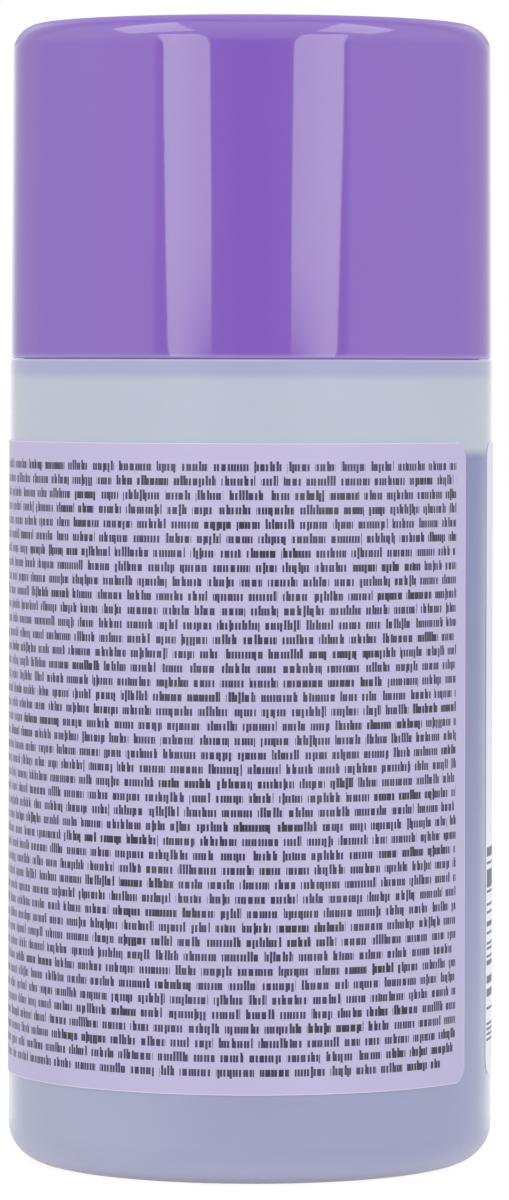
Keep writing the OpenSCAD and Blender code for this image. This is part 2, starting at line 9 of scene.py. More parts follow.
import logging
import math
from contextlib import contextmanager
from dataclasses import dataclass
from enum import Enum
from functools import cache
from itertools import pairwise
from typing import Any, Callable, Iterator, Sequence

import bpy
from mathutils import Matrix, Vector


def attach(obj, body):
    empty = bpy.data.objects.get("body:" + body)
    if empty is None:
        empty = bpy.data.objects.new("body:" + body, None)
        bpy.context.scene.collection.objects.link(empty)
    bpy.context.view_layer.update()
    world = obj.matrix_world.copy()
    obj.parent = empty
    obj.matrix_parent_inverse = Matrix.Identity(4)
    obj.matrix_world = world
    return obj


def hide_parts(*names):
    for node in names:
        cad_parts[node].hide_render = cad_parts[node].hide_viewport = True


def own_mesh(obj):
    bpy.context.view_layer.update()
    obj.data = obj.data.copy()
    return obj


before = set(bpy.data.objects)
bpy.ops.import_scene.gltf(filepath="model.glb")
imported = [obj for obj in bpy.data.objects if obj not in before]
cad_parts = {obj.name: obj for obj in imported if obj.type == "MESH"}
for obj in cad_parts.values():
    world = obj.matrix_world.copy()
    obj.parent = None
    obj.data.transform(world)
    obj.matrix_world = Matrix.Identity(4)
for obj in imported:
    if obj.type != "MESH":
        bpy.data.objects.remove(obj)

MM = 0.001
FULL_TURN = 2 * math.pi
WELD = 1e-7
MERGE = 2e-6
WHITE = (1.0, 1.0, 1.0, 1.0)
BLACK = (0.0, 0.0, 0.0, 1.0)
log = logging.getLogger("remover_bottle")

Piece = bpy.types.Object
Material = bpy.types.Material
Colour = tuple[float, float, float]
Outline = Sequence[tuple[float, ...]]


class Body(str, Enum):
    """The bodies of the frame that a piece can ride on."""

    BOTTLE = "bottle_body"
    OVERCAP = "overcap_body"
    PUMP = "pump_body"
    COLLAR = "collar_body"
    ACTUATOR = "actuator_body"


class Hand(Enum):
    """Which way a moulded thread's ridge stands on its wall."""

    OUTWARD = 1
    INWARD = -1


def linear(colour: Colour, share: float = 1.0) -> tuple[float, float, float, float]:
    """Turn a screen colour into scene light.

    Args:
        colour: Red, green and blue from 0 to 255 as a screen shows them.
        share: What the light is multiplied by, to make it darker or paler.

    Returns:
        Linear red, green and blue, none above one, with an alpha of one.
    """
    screen = [c / 255 for c in colour]
    light = [s / 12.92 if s <= 0.04045 else ((s + 0.055) / 1.055) ** 2.4 for s in screen]
    red, green, blue = (min(1.0, value * share) for value in light)
    return (red, green, blue, 1.0)


# Modelling helpers


def only(*pieces: Piece) -> None:
    """Select some objects alone.

    Args:
        pieces: The objects, of which the first becomes the active one.
    """
    bpy.ops.object.select_all(action="DESELECT")
    for piece in pieces:
        piece.select_set(True)
    bpy.context.view_layer.objects.active = pieces[0] if pieces else None


@contextmanager
def editing(piece: Piece, select: bool = True) -> Iterator[None]:
    """Hold a piece in edit mode.

    Args:
        piece: The mesh to edit.
        select: True to select all of it first, False to keep what code has selected.

    Returns:
        A context that goes back to object mode at its end.
    """
    only(piece)
    bpy.ops.object.mode_set(mode="EDIT")
    if select:
        bpy.ops.mesh.select_all(action="SELECT")
    yield
    bpy.ops.object.mode_set(mode="OBJECT")


def fresh(name: str, add: Callable[..., Any], **settings: Any) -> Piece:
    """Add a simple mesh to start from.

    Args:
        name: The piece's name.
        add: The operator that adds it.
        settings: The operator's settings.

    Returns:
        The new piece.
    """
    only()
    add(**settings)
    piece = bpy.context.object
    piece.name = name
    return piece


def settle(piece: Piece) -> None:
    """Work a piece's place, turn and scale into its mesh."""
    only(piece)
    bpy.ops.object.transform_apply(location=True, rotation=True, scale=True)


def apply(piece: Piece, kind: str, **settings: Any) -> None:
    """Add one modifier to a piece, set it and apply it.

    Args:
        piece: The mesh to change.
        kind: The modifier's type.
        settings: Its properties.
    """
    modifier = piece.modifiers.new(kind.lower(), kind)
    for key, value in settings.items():
        setattr(modifier, key, value)
    only(piece)
    bpy.ops.object.modifier_apply(modifier=modifier.name)


def tidy(piece: Piece) -> None:
    """Merge a mesh's doubled points and turn its faces outwards.

    Args:
        piece: The mesh to clean.
    """
    with editing(piece):
        bpy.ops.mesh.remove_doubles(threshold=MERGE)
        bpy.ops.mesh.normals_make_consistent(inside=False)


def smooth(piece: Piece, angle: float = 35) -> None:
    """Shade a piece smooth, with its flat faces kept flat.

    Args:
        piece: The piece to shade.
        angle: Edges sharper than this stay sharp.
    """
    only(piece)
    bpy.ops.object.shade_smooth_by_angle(angle=math.radians(angle))
    apply(piece, "WEIGHTED_NORMAL", keep_sharp=True, weight=50)


def turn(piece: Piece, degrees: float) -> None:
    """Turn a piece's mesh about the object's axis."""
    piece.rotation_euler = (0, 0, math.radians(degrees))
    settle(piece)


def join(piece: Piece, others: Sequence[Piece]) -> Piece:
    """Join other meshes into a piece.

    Args:
        piece: The piece that takes them in.
        others: The meshes to join.

    Returns:
        The piece.
    """
    only(piece, *others)
    bpy.ops.object.join()
    return piece


def ring_of(piece: Piece, count: int, first: float = 0.0) -> list[Piece]:
    """Copy a piece round the axis, each copy with its own mesh.

    Args:
        piece: The piece to repeat. It becomes the first of the ring.
        count: How many there are in the ring.
        first: Angle of the first one.

    Returns:
        The pieces of the ring.
    """
    found = [piece]
    for k in range(1, count):
        only(piece)
        bpy.ops.object.duplicate(linked=False)
        found.append(bpy.context.object)
        turn(found[-1], first + k * 360 / count)
    turn(piece, first)
    return found


def arc_points(before: Vector, here: Vector, after: Vector, fillet: float, fine: int) -> list[Vector]:
    """Round one corner with a true arc.

    Args:
        before: The corner before, millimetres.
        here: The corner that is rounded.
        after: The corner after.
        fillet: Radius of the arc.
        fine: Steps in a quarter turn.

    Returns:
        The arc's points, both ends included.
    """
    back = (before - here).normalized()
    onward = (after - here).normalized()
    half = back.angle(onward) / 2
    centre = here + (back + onward).normalized() * fillet / math.sin(half)
    start = here + back * fillet / math.tan(half) - centre
    stop = here + onward * fillet / math.tan(half) - centre
    begin = math.atan2(start.y, start.x)
    sweep = math.atan2(start.x * stop.y - start.y * stop.x, start.dot(stop))
    steps = max(2, round(fine * abs(sweep) / (math.pi / 2)))
    angles = [begin + sweep * k / steps for k in range(steps + 1)]
    return [centre + fillet * Vector((math.cos(angle), math.sin(angle))) for angle in angles]


def chain(name: str, outline: Outline, fine: int) -> Piece:
    """Draw an outline in the XZ plane, one extruded point after another.

    Args:
        name: The piece's name.
        outline: Its corners: a radius, a height and, where it is rounded, a fillet. It is open
            where it starts on the axis, and otherwise a loop.
        fine: Steps in a quarter turn of a fillet.

    Returns:
        A piece that holds only edges.
    """
    spots = [Vector(corner[:2]) for corner in outline]
    path: list[Vector] = []
    for i, corner in enumerate(outline):
        if len(corner) > 2:
            after = spots[(i + 1) % len(spots)]
            path += arc_points(spots[i - 1], spots[i], after, corner[2], fine)
        else:
            path.append(spots[i])
    if outline[0][0] > 0:
        path.append(path[0])
    piece = fresh(name, bpy.ops.mesh.primitive_plane_add, size=MM)
    with editing(piece):
        bpy.ops.mesh.merge(type="CENTER")
        bpy.ops.transform.translate(value=(path[0].x * MM, 0, path[0].y * MM))
        for here, after in pairwise(path):
            step = ((after.x - here.x) * MM, 0, (after.y - here.y) * MM)
            bpy.ops.mesh.extrude_region_move(TRANSFORM_OT_translate={"value": step})
        bpy.ops.mesh.select_all(action="SELECT")
        bpy.ops.mesh.remove_doubles(threshold=WELD)
    return piece


def turned(name: str, outline: Outline, steps: int = 256, fine: int = 8) -> Piece:
    """Spin a profile round the object's axis, as on a lathe.

    Args:
        name: The piece's name.
        outline: The profile's corners.
        steps: Faces around the axis.
        fine: Steps in a quarter turn of each fillet.

    Returns:
        A closed mesh.
    """
    piece = chain(name, outline, fine)
    with editing(piece):
        bpy.ops.mesh.spin(steps=steps, angle=FULL_TURN, center=(0, 0, 0), axis=(0, 0, 1))
    tidy(piece)
    return piece


def plate(name: str, outline: Outline, thickness: float) -> Piece:
    """Make a flat plate that stands in the XZ plane, centred on it.

    Args:
        name: The piece's name.
        outline: The plate's corners.
        thickness: Its thickness in millimetres.

    Returns:
        A closed mesh.
    """
    piece = chain(name, outline, 4)
    with editing(piece):
        bpy.ops.mesh.edge_face_add()
        bpy.ops.transform.translate(value=(0, -thickness * MM / 2, 0))
        move = {"value": (0, thickness * MM, 0)}
        bpy.ops.mesh.extrude_region_move(TRANSFORM_OT_translate=move)
    tidy(piece)
    return piece


@dataclass(frozen=True)
class Thread:
    """A moulded thread's ridge, whose ends fade into the wall that carries it."""

    name: str
    hand: Hand
    root: float
    low: float
    start: float
    turns: float
    pitch: float = 4.233
    depth: float = 1.2
    sink: float = 0.25
    foot_half: float = 1.0
    flank_half: float = 0.95
    crest_half: float = 0.4
    foot_fillet: float = 0.2
    crest_fillet: float = 0.25
    steps: int = 96
    fade: float = 0.12

    def ridge(self) -> Piece:
        """Sweep the ridge along its helix.

        Returns:
            A closed ridge whose root is sunk into its wall.
        """
        low = self.low
        sunk = self.root - self.sink * self.hand.value
        crest = self.root + self.depth * self.hand.value
        outline = [
            (sunk, low - self.foot_half),
            (self.root, low - self.flank_half, self.foot_fillet),
            (crest, low - self.crest_half, self.crest_fillet),
            (crest, low + self.crest_half, self.crest_fillet),
            (self.root, low + self.flank_half, self.foot_fillet),
            (sunk, low + self.foot_half),
        ]
        piece = chain(self.name, outline, 3)
        steps = round(self.steps * self.turns)
        apply(
            piece, "SCREW", axis="Z", angle=FULL_TURN * self.turns, steps=steps, render_steps=steps,
            screw_offset=self.pitch * self.turns * MM, use_smooth_shade=False,
        )
        for vertex in piece.data.vertices:
            spot = vertex.co
            radius = math.hypot(spot.x, spot.y)
            bearing = math.atan2(spot.y, spot.x) / FULL_TURN
            rise = (spot.z / MM - low) / self.pitch
            done = bearing + round(rise - bearing)
            share = min(1.0, max(0.0, done) / self.fade, max(0.0, self.turns - done) / self.fade)
            share = share * share * (3 - 2 * share)
            wanted = sunk * MM + (radius - sunk * MM) * share
            spot.x *= wanted / radius
            spot.y *= wanted / radius
        tidy(piece)
        turn(piece, self.start)
        return piece


def place(piece: Piece, body: Body, slot: str, material: Material, *nodes: str) -> Piece:
    """Dress a piece, put it on its body and let it stand for its nodes.

    Args:
        piece: The finished piece.
        body: The body that it rides on.
        slot: The record's material slot. Not used.
        material: Its finish.
        nodes: The frame's nodes that it replaces.

    Returns:
        The piece.
    """
    piece.data.materials.clear()
    piece.data.materials.append(material)
    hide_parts(*nodes)
    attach(piece, body.value)
    log.info("%s: %d faces on %s", piece.name, len(piece.data.polygons), body.value)
    return piece


def dress_nodes(material: Material, *names: str) -> None:
    """Give parts of the frame that stay a better finish.

    Args:
        material: The finish.
        names: The parts' nodes.
    """
    for name in names:
        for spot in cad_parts[name].material_slots:
            spot.material = material
        log.info("%s: kept, dressed with %s", name, material.name)


# Shading helpers


class Value:
    """One output of a node, from which others are worked out with plain arithmetic."""

    def __init__(self, graph: "Graph", node: bpy.types.Node, output: int | str = 0) -> None:
        """Hold one output of a node.

        Args:
            graph: The graph that the node is in.
            node: The node.
            output: Which of its outputs this is, by number or name.
        """
        self.graph = graph
        self.node = node
        self.output = output

    def __getitem__(self, output: int | str) -> "Value":
        """Give another output of the same node."""
        return Value(self.graph, self.node, output)

    def __add__(self, other: Any) -> "Value":
        """Add a value or a number."""
        return self.graph.math("ADD", self, other)

    def __sub__(self, other: Any) -> "Value":
        """Take a value or a number away."""
        return self.graph.math("SUBTRACT", self, other)

    def __rsub__(self, other: float) -> "Value":
        """Take this value away from a number."""
        return self.graph.math("SUBTRACT", other, self)

    def __mul__(self, other: Any) -> "Value":
        """Multiply by a value or a number."""
        return self.graph.math("MULTIPLY", self, other)

    def __truediv__(self, other: Any) -> "Value":
        """Divide by a value or a number."""
        return self.graph.math("DIVIDE", self, other)

    def __abs__(self) -> "Value":
        """Give the value without its sign."""
        return self.graph.math("ABSOLUTE", self)

    def step(self, low: float, high: float, start: Any = 0.0, stop: Any = 1.0) -> "Value":
        """Map the value smoothly from one range to another.

        Args:
            low: Where the change starts.
            high: Where it ends.
            start: The result below low.
            stop: The result above high.

        Returns:
            The mapped value.
        """
        return self.graph.add("MapRange", self, low, high, start, stop, interpolation_type="SMOOTHSTEP")

    def within(self, low: Any, high: Any) -> "Value":
        """Give 1 where the value lies between two limits, else 0."""
        above = self.graph.math("GREATER_THAN", self, low)
        return above * self.graph.math("LESS_THAN", self, high)


class Graph:
    """A node tree with short calls for the nodes that the finishes are made of."""

    def __init__(self, tree: bpy.types.NodeTree) -> None:
        """Take a tree and empty it."""
        self.tree = tree
        tree.nodes.clear()

    def feed(self, socket: bpy.types.NodeSocket, value: Any) -> None:
        """Link an input to a value, or write a plain one there.

        Args:
            socket: The input.
            value: A node's value, or a number or colour.
        """
        if isinstance(value, Value):
            self.tree.links.new(value.node.outputs[value.output], socket)
        else:
            socket.default_value = value

    def add(self, kind: str, *values: Any, **named: Any) -> Value:
        """Add a node.

        Args:
            kind: Its type.
            values: What its first inputs get, in order.
            named: What further inputs get, with capital names whose spaces are underscores, and
                the node's properties, with small names.

        Returns:
            Its first output.
        """
        node = self.tree.nodes.new("ShaderNode" + kind)
        for key, value in named.items():
            if key[0].islower():
                setattr(node, key, value)
        for socket, value in zip(node.inputs, values):
            self.feed(socket, value)
        for key, value in named.items():
            if key[0].isupper():
                self.feed(node.inputs[key.replace("_", " ")], value)
        return Value(self, node)

    def give(self, **outputs: Value) -> bpy.types.NodeTree:
        """Finish a node group.

        Args:
            outputs: What each of its outputs gives.

        Returns:
            The group's tree.
        """
        for key in outputs:
            self.tree.interface.new_socket(name=key, in_out="OUTPUT", socket_type="NodeSocketFloat")
        sink = self.tree.nodes.new("NodeGroupOutput")
        for key, value in outputs.items():
            self.feed(sink.inputs[key], value)
        return self.tree

    def math(self, operation: str, *values: Any) -> Value:
        """Add a Math node."""
        return self.add("Math", *values, operation=operation)

    def mix(self, share: Value, first: Any, second: Any) -> Value:
        """Mix two colours.

        Args:
            share: How much of the second there is.
            first: The first colour.
            second: The second colour.

        Returns:
            The mixed colour.
        """
        mixed = self.add("Mix", share, data_type="RGBA", clamp_factor=True)[2]
        self.feed(mixed.node.inputs[6], first)
        self.feed(mixed.node.inputs[7], second)
        return mixed

    def where(self) -> Value:
        """Give the object's own place in metres."""
        return self.add("TexCoord")["Object"]

    def parts(self, vector: Value) -> list[Value]:
        """Split a place or a colour into its three parts."""
        split = self.add("SeparateXYZ", vector)
        return [split[k] for k in range(3)]

    def grain(self, size: float, wave: float = 0.3) -> Value:
        """Place the mould's grain, its size in millimetres."""
        return self.add("Group", node_tree=mould_grain(), Size=size * MM, Wave=wave)

    def marks(self, amount: float) -> Value:
        """Place the marks of handling."""
        return self.add("Group", node_tree=handling_marks(), Amount=amount)

    def above(self, height: float, width: float) -> Value:
        """Mask what lies above a height, with a soft edge, in millimetres."""
        return self.add("Group", node_tree=height_level(), Height=height * MM, Width=width * MM)

    def facing(self) -> Value:
        """Give how far a surface is turned away from the eye."""
        return self.add("LayerWeight")["Facing"]

    def bump(self, height: Value, depth: float) -> Value:
        """Turn a height into a normal, with its depth in millimetres."""
        return self.add("Bump", Strength=1.0, Distance=depth * MM, Height=height)


def new_group(name: str, **inputs: float) -> tuple[Graph, Value]:
    """Make an empty node group of plain values.

    Args:
        name: The group's name.
        inputs: Its inputs with their defaults.

    Returns:
        The group's graph, and the node that gives its inputs.
    """
    graph = Graph(bpy.data.node_groups.new(name, "ShaderNodeTree"))
    for key, default in inputs.items():
        socket = graph.tree.interface.new_socket(name=key, in_out="INPUT", socket_type="NodeSocketFloat")
        socket.default_value = default
    return graph, Value(graph, graph.tree.nodes.new("NodeGroupInput"))


@cache
def mould_grain() -> bpy.types.NodeTree:
    """Build the mould's grain: a fine height and a slow wave under it.

    Returns:
        A group that takes the grain's size in metres and gives Height and Tone.
    """
    graph, given = new_group("MouldGrain", Size=0.0005, Wave=0.3)
    where = graph.where()
    scale = graph.math("DIVIDE", 1.0, given["Size"])
    scaled = graph.add("VectorMath", where, operation="SCALE", Scale=scale)
    fine = graph.add("TexNoise", Vector=scaled, Scale=1.0, Detail=3.0, Roughness=0.6)
    slow = graph.add("TexNoise", Vector=where, Scale=90.0, Detail=1.0)
    return graph.give(Height=slow * given["Wave"] + fine, Tone=slow * 0.6 + fine * 0.4)


@cache
def handling_marks() -> bpy.types.NodeTree:
    """Build the marks of handling: faint smears and a few hair scratches.

    Returns:
        A group that gives a Mask from 0 to 1.
    """
    graph, given = new_group("Handling", Amount=0.5)
    where = graph.where()
    smear = graph.add("TexNoise", Vector=where, Scale=38.0, Detail=4.0, Roughness=0.62)
    stretched = graph.add("Mapping", Vector=where, Rotation=(0.4, 0.9, 0.3), Scale=(900.0, 60.0, 60.0))
    hair = graph.add("TexNoise", Vector=stretched, Scale=1.0, Detail=2.0)
    both = hair.step(0.70, 0.74) * 0.6 + smear.step(0.52, 0.74)
    return graph.give(Mask=graph.add("Math", both, given["Amount"], operation="MULTIPLY", use_clamp=True))


@cache
def height_level() -> bpy.types.NodeTree:
    """Build a soft step along the height.

    Returns:
        A group that takes a Height in metres and the step's Width, and gives an Above mask.
    """
    graph, given = new_group("Level", Height=0.09, Width=0.001)
    share = (graph.parts(graph.where())[2] - given["Height"]) / given["Width"]
    return graph.give(Above=share.step(-0.5, 0.5))


def new_material(name: str) -> tuple[Material, Graph]:
    """Start a material.

    Args:
        name: The material's name.

    Returns:
        The material and its empty graph.
    """
    material = bpy.data.materials.new(name)
    material.use_nodes = True
    return material, Graph(material.node_tree)


# Finishes


@dataclass(frozen=True)
class Finish:
    """A finish that draws its own node material."""

    name: str

    def surface(self, graph: Graph) -> Value:
        """Draw the finish and give its shader."""
        raise NotImplementedError

    def build(self) -> Material:
        """Make the finish's material.

        Returns:
            The material.
        """
        material, graph = new_material(self.name)
        graph.add("OutputMaterial", self.surface(graph))
        return material


@dataclass(frozen=True)
class MouldedPlastic(Finish):
    """A moulded plastic: its colour, gloss, grain and the marks of use on it."""

    colour: Colour
    rough: float
    grain: float = 0.5
    depth: float = 0.002
    tone: float = 0.04
    marks: float = 0.5
    glow: float = 0.0
    tint: Colour = (255, 255, 255)
    # Painted light on the foot: a band of paler base colour as a painted highlight, and a painted glow in
    # its emission.
    painted_foot_light: Colour | None = None
    foot_light_top: float = 0.0
    foot_glow: float = 0.0
    satin_from: float | None = None
    satin: float = 0.4
    soft: float = 0.9
    round_edge: float = 2.2

    def surface(self, graph: Graph) -> Value:
        """Draw the finish, with a painted highlight and glow on its foot and a satin top where it has them.

        Args:
            graph: The material's graph.

        Returns:
            The shader.
        """
        grain = graph.grain(self.grain)
        base = linear(self.colour)
        shade = graph.mix(grain["Tone"].step(0.35, 0.65), linear(self.colour, 1 - self.tone), base)
        lit: Any = BLACK
        gloss: Any = self.rough
        # Painted highlight and painted glow on the foot's band.
        if self.painted_foot_light:
            above = graph.above(self.foot_light_top, self.soft)
            lit = graph.mix(above, linear(self.painted_foot_light), BLACK)
            shade = graph.mix(above, linear(self.painted_foot_light), shade)
        if self.satin_from:
            rounded = graph.above(self.satin_from - self.round_edge, 1.0)
            grazing = rounded * graph.facing().step(0.7, 0.92, 0.0, 0.75)
            satin = graph.math("MAXIMUM", graph.above(self.satin_from, self.soft), grazing)
            gloss = satin * self.satin + self.rough
        return graph.add(
            "BsdfPrincipled", Base_Color=shade, Roughness=graph.marks(self.marks) * 0.10 + gloss,
            Normal=graph.bump(grain, self.depth), Specular_Tint=linear(self.tint),
            Emission_Color=lit, Emission_Strength=self.foot_glow,
            Subsurface_Weight=self.glow, Subsurface_Radius=(1.0, 1.0, 1.0), Subsurface_Scale=1.2 * MM,
        )


@dataclass(frozen=True, kw_only=True)
class FrostedWall(Finish):
    """The bottle's frosted wall: tinted by the air or liquid behind it and paler low down, with painted
    light on its foot and lower left side, painted shade under the cap and a painted glow at the ledge.
    """

    name: str = "frosted_wall"
    level: float
    ledge: float
    air: Colour = (188, 194, 208)
    filled: Colour = (134, 136, 180)
    low: Colour = (166, 169, 197)
    # Painted light: the lower wall's left side is painted paler.
    painted_side_light: Colour = (179, 184, 205)
    # Painted light: the foot is painted paler, for light from the floor.
    foot: Colour = (197, 197, 222)
    # Painted shade and painted reflection of the cap in a band under the ledge; also the colour of the
    # painted glow on the ledge.
    painted_under_cap: Colour = (169, 173, 204)
    neck: Colour = (205, 209, 221)
    rough: float = 0.36
    seam_half: float = 0.35
    pinch_half: float = 17.0
    pinch_high: float = 3.5
    pinch_lift: float = 6.0

    def surface(self, graph: Graph) -> Value:
        """Draw the bands of tint with their painted light and shade, the mould's seam and the pinch line
        under the base.

        Args:
            graph: The material's graph.

        Returns:
            The shader.
        """
        x, y, z = graph.parts(graph.where())
        # Painted light: the left side of the lower wall is painted paler.
        shade = graph.mix(x.step(-0.022, 0.004), linear(self.painted_side_light), linear(self.low))
        # Painted light from the floor on the foot.
        shade = graph.mix(graph.above(2.4, 5), linear(self.foot), shade)
        bands = [
            (32, 100, self.filled),
            (self.level + 0.1, 1.6, self.air),
            # painted shade and painted reflection of the cap under the ledge
            (self.ledge - 2.2, 1.3, self.painted_under_cap),
            (self.ledge + 0.1, 0.3, self.neck),
        ]
        for height, width, colour in bands:
            shade = graph.mix(graph.above(height, width), shade, linear(colour))
        cloud = graph.add("TexNoise", Vector=graph.where(), Scale=28.0, Detail=3.0)
        shade = graph.add("HueSaturation", Color=shade, Value=cloud.step(0.25, 0.75, 0.975, 1.02))
        half, high = self.pinch_half * MM, self.pinch_high * MM
        seam = abs(y).step(0.0, self.seam_half * MM, 1.0, 0.0)
        pinch = abs(x).step(half, half + 0.5 * MM, 1.0, 0.0)
        pinch = pinch * z.step(high, high + MM, self.pinch_lift, 0.0)
        relief = graph.grain(0.22, 1.2) + seam * pinch + seam
        wall = graph.above(4.5, 4) - graph.above(self.ledge + 0.1, 0.3)
        # Painted glow along the ledge's top edge, in the colour of the band under the ledge.
        lit = graph.above(self.ledge - 0.3, 0.3) - graph.above(self.ledge + 0.1, 0.1)
        return graph.add(
            "BsdfPrincipled", Base_Color=shade, Roughness=graph.marks(0.6) * -0.06 + self.rough,
            Normal=graph.bump(relief, 0.012), Specular_IOR_Level=0.32,
            Coat_Weight=graph.facing().step(0.62, 0.86, 0.0, 0.95) * wall, Coat_Roughness=0.12,
            Emission_Color=graph.mix(lit, BLACK, linear(self.painted_under_cap)), Emission_Strength=0.09,
            Subsurface_Weight=0.35, Subsurface_Radius=(1.0, 1.0, 1.1), Subsurface_Scale=1.6 * MM,
        )


@dataclass(frozen=True, kw_only=True)
class Film(Finish):
    """A label's film, drawn on its own flat place in millimetres."""

    width: float
    height: float
    film: Colour
    ink: Colour
    rough: float
    # Painted highlight: a pale line along the film's edge.
    edge_highlight_width: float = 0.16
    edge_highlight: float = 0.55
    ink_lift: float = 0.0
    ink_gloss: float = 0.0

    def sheet(self, graph: Graph, up: Value, tone: Value) -> Value:
        """Give the bare film's colour from the height on it and the grain's tone."""
        raise NotImplementedError

    def printed(
        self, graph: Graph, sheet: Value, along: Value, up: Value, tone: Value
    ) -> tuple[Value, Value]:
        """Print on the sheet and give the colour and the ink's mask."""
        raise NotImplementedError

    def surface(self, graph: Graph) -> Value:
        """Draw the sheet, a painted highlight along its edge, and its print.

        Args:
            graph: The material's graph.

        Returns:
            The shader.
        """
        across, rise, _ = graph.parts(graph.add("UVMap", uv_map="film"))
        along = across * self.width
        up = rise * self.height
        side = graph.math("MINIMUM", along, self.width - along)
        near = graph.math("MINIMUM", side, graph.math("MINIMUM", up, self.height - up))
        # Painted highlight along the film's edge.
        edge = near.step(0.0, self.edge_highlight_width, 1.0, 0.0)
        grain = graph.grain(0.35, 1.5)
        sheet = graph.mix(edge * self.edge_highlight, self.sheet(graph, up, grain["Tone"]), WHITE)
        shade, ink = self.printed(graph, sheet, along, up, grain["Tone"])
        return graph.add(
            "BsdfPrincipled", Base_Color=shade, Normal=graph.bump(ink * self.ink_lift + grain, 0.004),
            Roughness=graph.marks(0.6) * 0.08 + self.rough + ink * -self.ink_gloss,
        )


@dataclass(frozen=True)
class BackFilm(Film):
    """The lilac film of the back label, with rows of small ticks in place of its print."""

    name: str = "lilac_film"
    film: Colour = (191, 184, 218)
    ink: Colour = (30, 20, 56)
    rough: float = 0.47
    ink_lift: float = 0.8
    ink_gloss: float = 0.08
    bold_ink: Colour = (14, 8, 30)
    rows: int = 43
    pitch: float = 1.78
    first: float = 77.5
    left: float = 2.3
    right: float = 86.9
    last_right: float = 83.6
    low_half: float = 0.44
    tall: float = 0.785
    deep: float = 0.66
    tick: float = 0.4
    stroke: float = 0.3
    bolder: float = 0.03
    word: float = 4.3
    space: float = 0.35
    run: float = 17.0

    def sheet(self, graph: Graph, up: Value, tone: Value) -> Value:
        """Give the bare film's colour, a little darker in places."""
        return graph.mix(tone.step(0.3, 0.7), linear(self.film, 0.965), linear(self.film))

    def cells(self, graph: Graph, at: Value, feature: str, random: float) -> Value:
        """Cut a line into cells of uneven length.

        Args:
            graph: The material's graph.
            at: The place on the line, in cells.
            feature: What the cells give.
            random: How uneven they are.

        Returns:
            The cells.
        """
        return graph.add(
            "TexVoronoi", voronoi_dimensions="1D", feature=feature, Scale=1.0, Randomness=random, W=at
        )

    def printed(
        self, graph: Graph, sheet: Value, along: Value, up: Value, tone: Value
    ) -> tuple[Value, Value]:
        """Print the rows of ticks.

        Args:
            graph: The material's graph.
            sheet: The sheet's colour.
            along: The place along the film.
            up: The place up the film.
            tone: The grain's tone.

        Returns:
            The colour with the ink on it, and the ink's mask.
        """
        line = (self.first + self.pitch / 2 - up) / self.pitch
        row = graph.math("FLOOR", line)
        high = (0.5 - (line - row)) * self.pitch
        start = graph.add("TexWhiteNoise", noise_dimensions="1D", W=row) * 977.0
        gap = self.cells(graph, along * (1 / self.word) + start, "DISTANCE_TO_EDGE", 0.85)
        inked = gap["Distance"].step((self.space - 0.03) / self.word, (self.space + 0.03) / self.word)
        cell = self.cells(graph, along * (1 / self.tick) + start, "F1", 0.5)
        traits = graph.parts(cell["Color"])
        along_run = along * (1 / self.run) + start
        bold = graph.add("TexNoise", noise_dimensions="1D", W=along_run, Scale=1.0, Detail=0.0)
        bold = bold.step(0.665, 0.675)
        away = cell["Distance"] * self.tick - (bold * self.bolder + self.stroke / 2)
        roof = traits[0].step(0.82, 0.83, self.low_half, self.tall)
        floor = traits[1].step(0.93, 0.94, -self.low_half, -self.deep)
        tick = away.step(-0.02, 0.02, 1.0, 0.0) * high.within(floor, roof)
        last = graph.math("GREATER_THAN", row, self.rows - 1.5)
        end = last * (self.last_right - self.right) + self.right
        area = along.within(self.left, end) * row.within(-0.5, self.rows - 0.5)
        mask = tick * inked * area
        ink = graph.mix(bold * area, linear(self.ink), linear(self.bold_ink))
        return graph.mix(mask * tone.step(0.2, 0.8, 0.92, 1.0), sheet, ink), mask


@dataclass(frozen=True)
class FrontFilm(Film):
    """The pale film of the front label: bare, but for plain stripes beside its left edge."""

    name: str = "white_film"
    film: Colour = (225, 225, 246)
    ink: Colour = (48, 34, 70)
    rough: float = 0.44
    # Painted highlight along the edge.
    edge_highlight: float = 0.6
    lower: Colour = (242, 242, 249)
    keyline: Colour = (140, 104, 190)
    key_left: float = 20.0
    key_margin: float = 5.0
    key_wide: float = 0.4
    code_left: float = 0.45
    code_right: float = 17.0
    code_low: float = 3.8
    code_high: float = 28.9
    module: float = 0.33

    def sheet(self, graph: Graph, up: Value, tone: Value) -> Value:
        """Give the bare film's colour, whiter towards its foot."""
        shade = graph.mix(up.step(18.0, 56.0), linear(self.lower), linear(self.film))
        return graph.add("HueSaturation", Color=shade, Value=tone.step(0.3, 0.7, 0.98, 1.0))

    def panel(self, along: Value, up: Value, inset: float) -> Value:
        """Mask the bare panel.

        Args:
            along: The place along the film.
            up: The place up the film.
            inset: How far the mask stays inside the panel all round.

        Returns:
            A mask that is 1 on the panel.
        """
        low = self.key_margin + inset
        across = along.within(self.key_left + inset, self.width - low)
        return across * up.within(low, self.height - low)

    def printed(
        self, graph: Graph, sheet: Value, along: Value, up: Value, tone: Value
    ) -> tuple[Value, Value]:
        """Print a thin line round the bare panel, and plain stripes of uneven width.

        Args:
            graph: The material's graph.
            sheet: The sheet's colour.
            along: The place along the film.
            up: The place up the film.
            tone: The grain's tone.

        Returns:
            The colour with the ink on it, and the stripes' mask.
        """
        line = self.panel(along, up, 0.0) - self.panel(along, up, self.key_wide)
        shade = graph.mix(line * 0.8, sheet, linear(self.keyline))
        count = graph.math("FLOOR", up / self.module)
        chance = graph.add("TexWhiteNoise", noise_dimensions="1D", W=count)
        area = along.within(self.code_left, self.code_right) * up.within(self.code_low, self.code_high)
        stripes = graph.math("GREATER_THAN", chance, 0.48) * area
        return graph.mix(stripes * 0.92, shade, linear(self.ink)), stripes


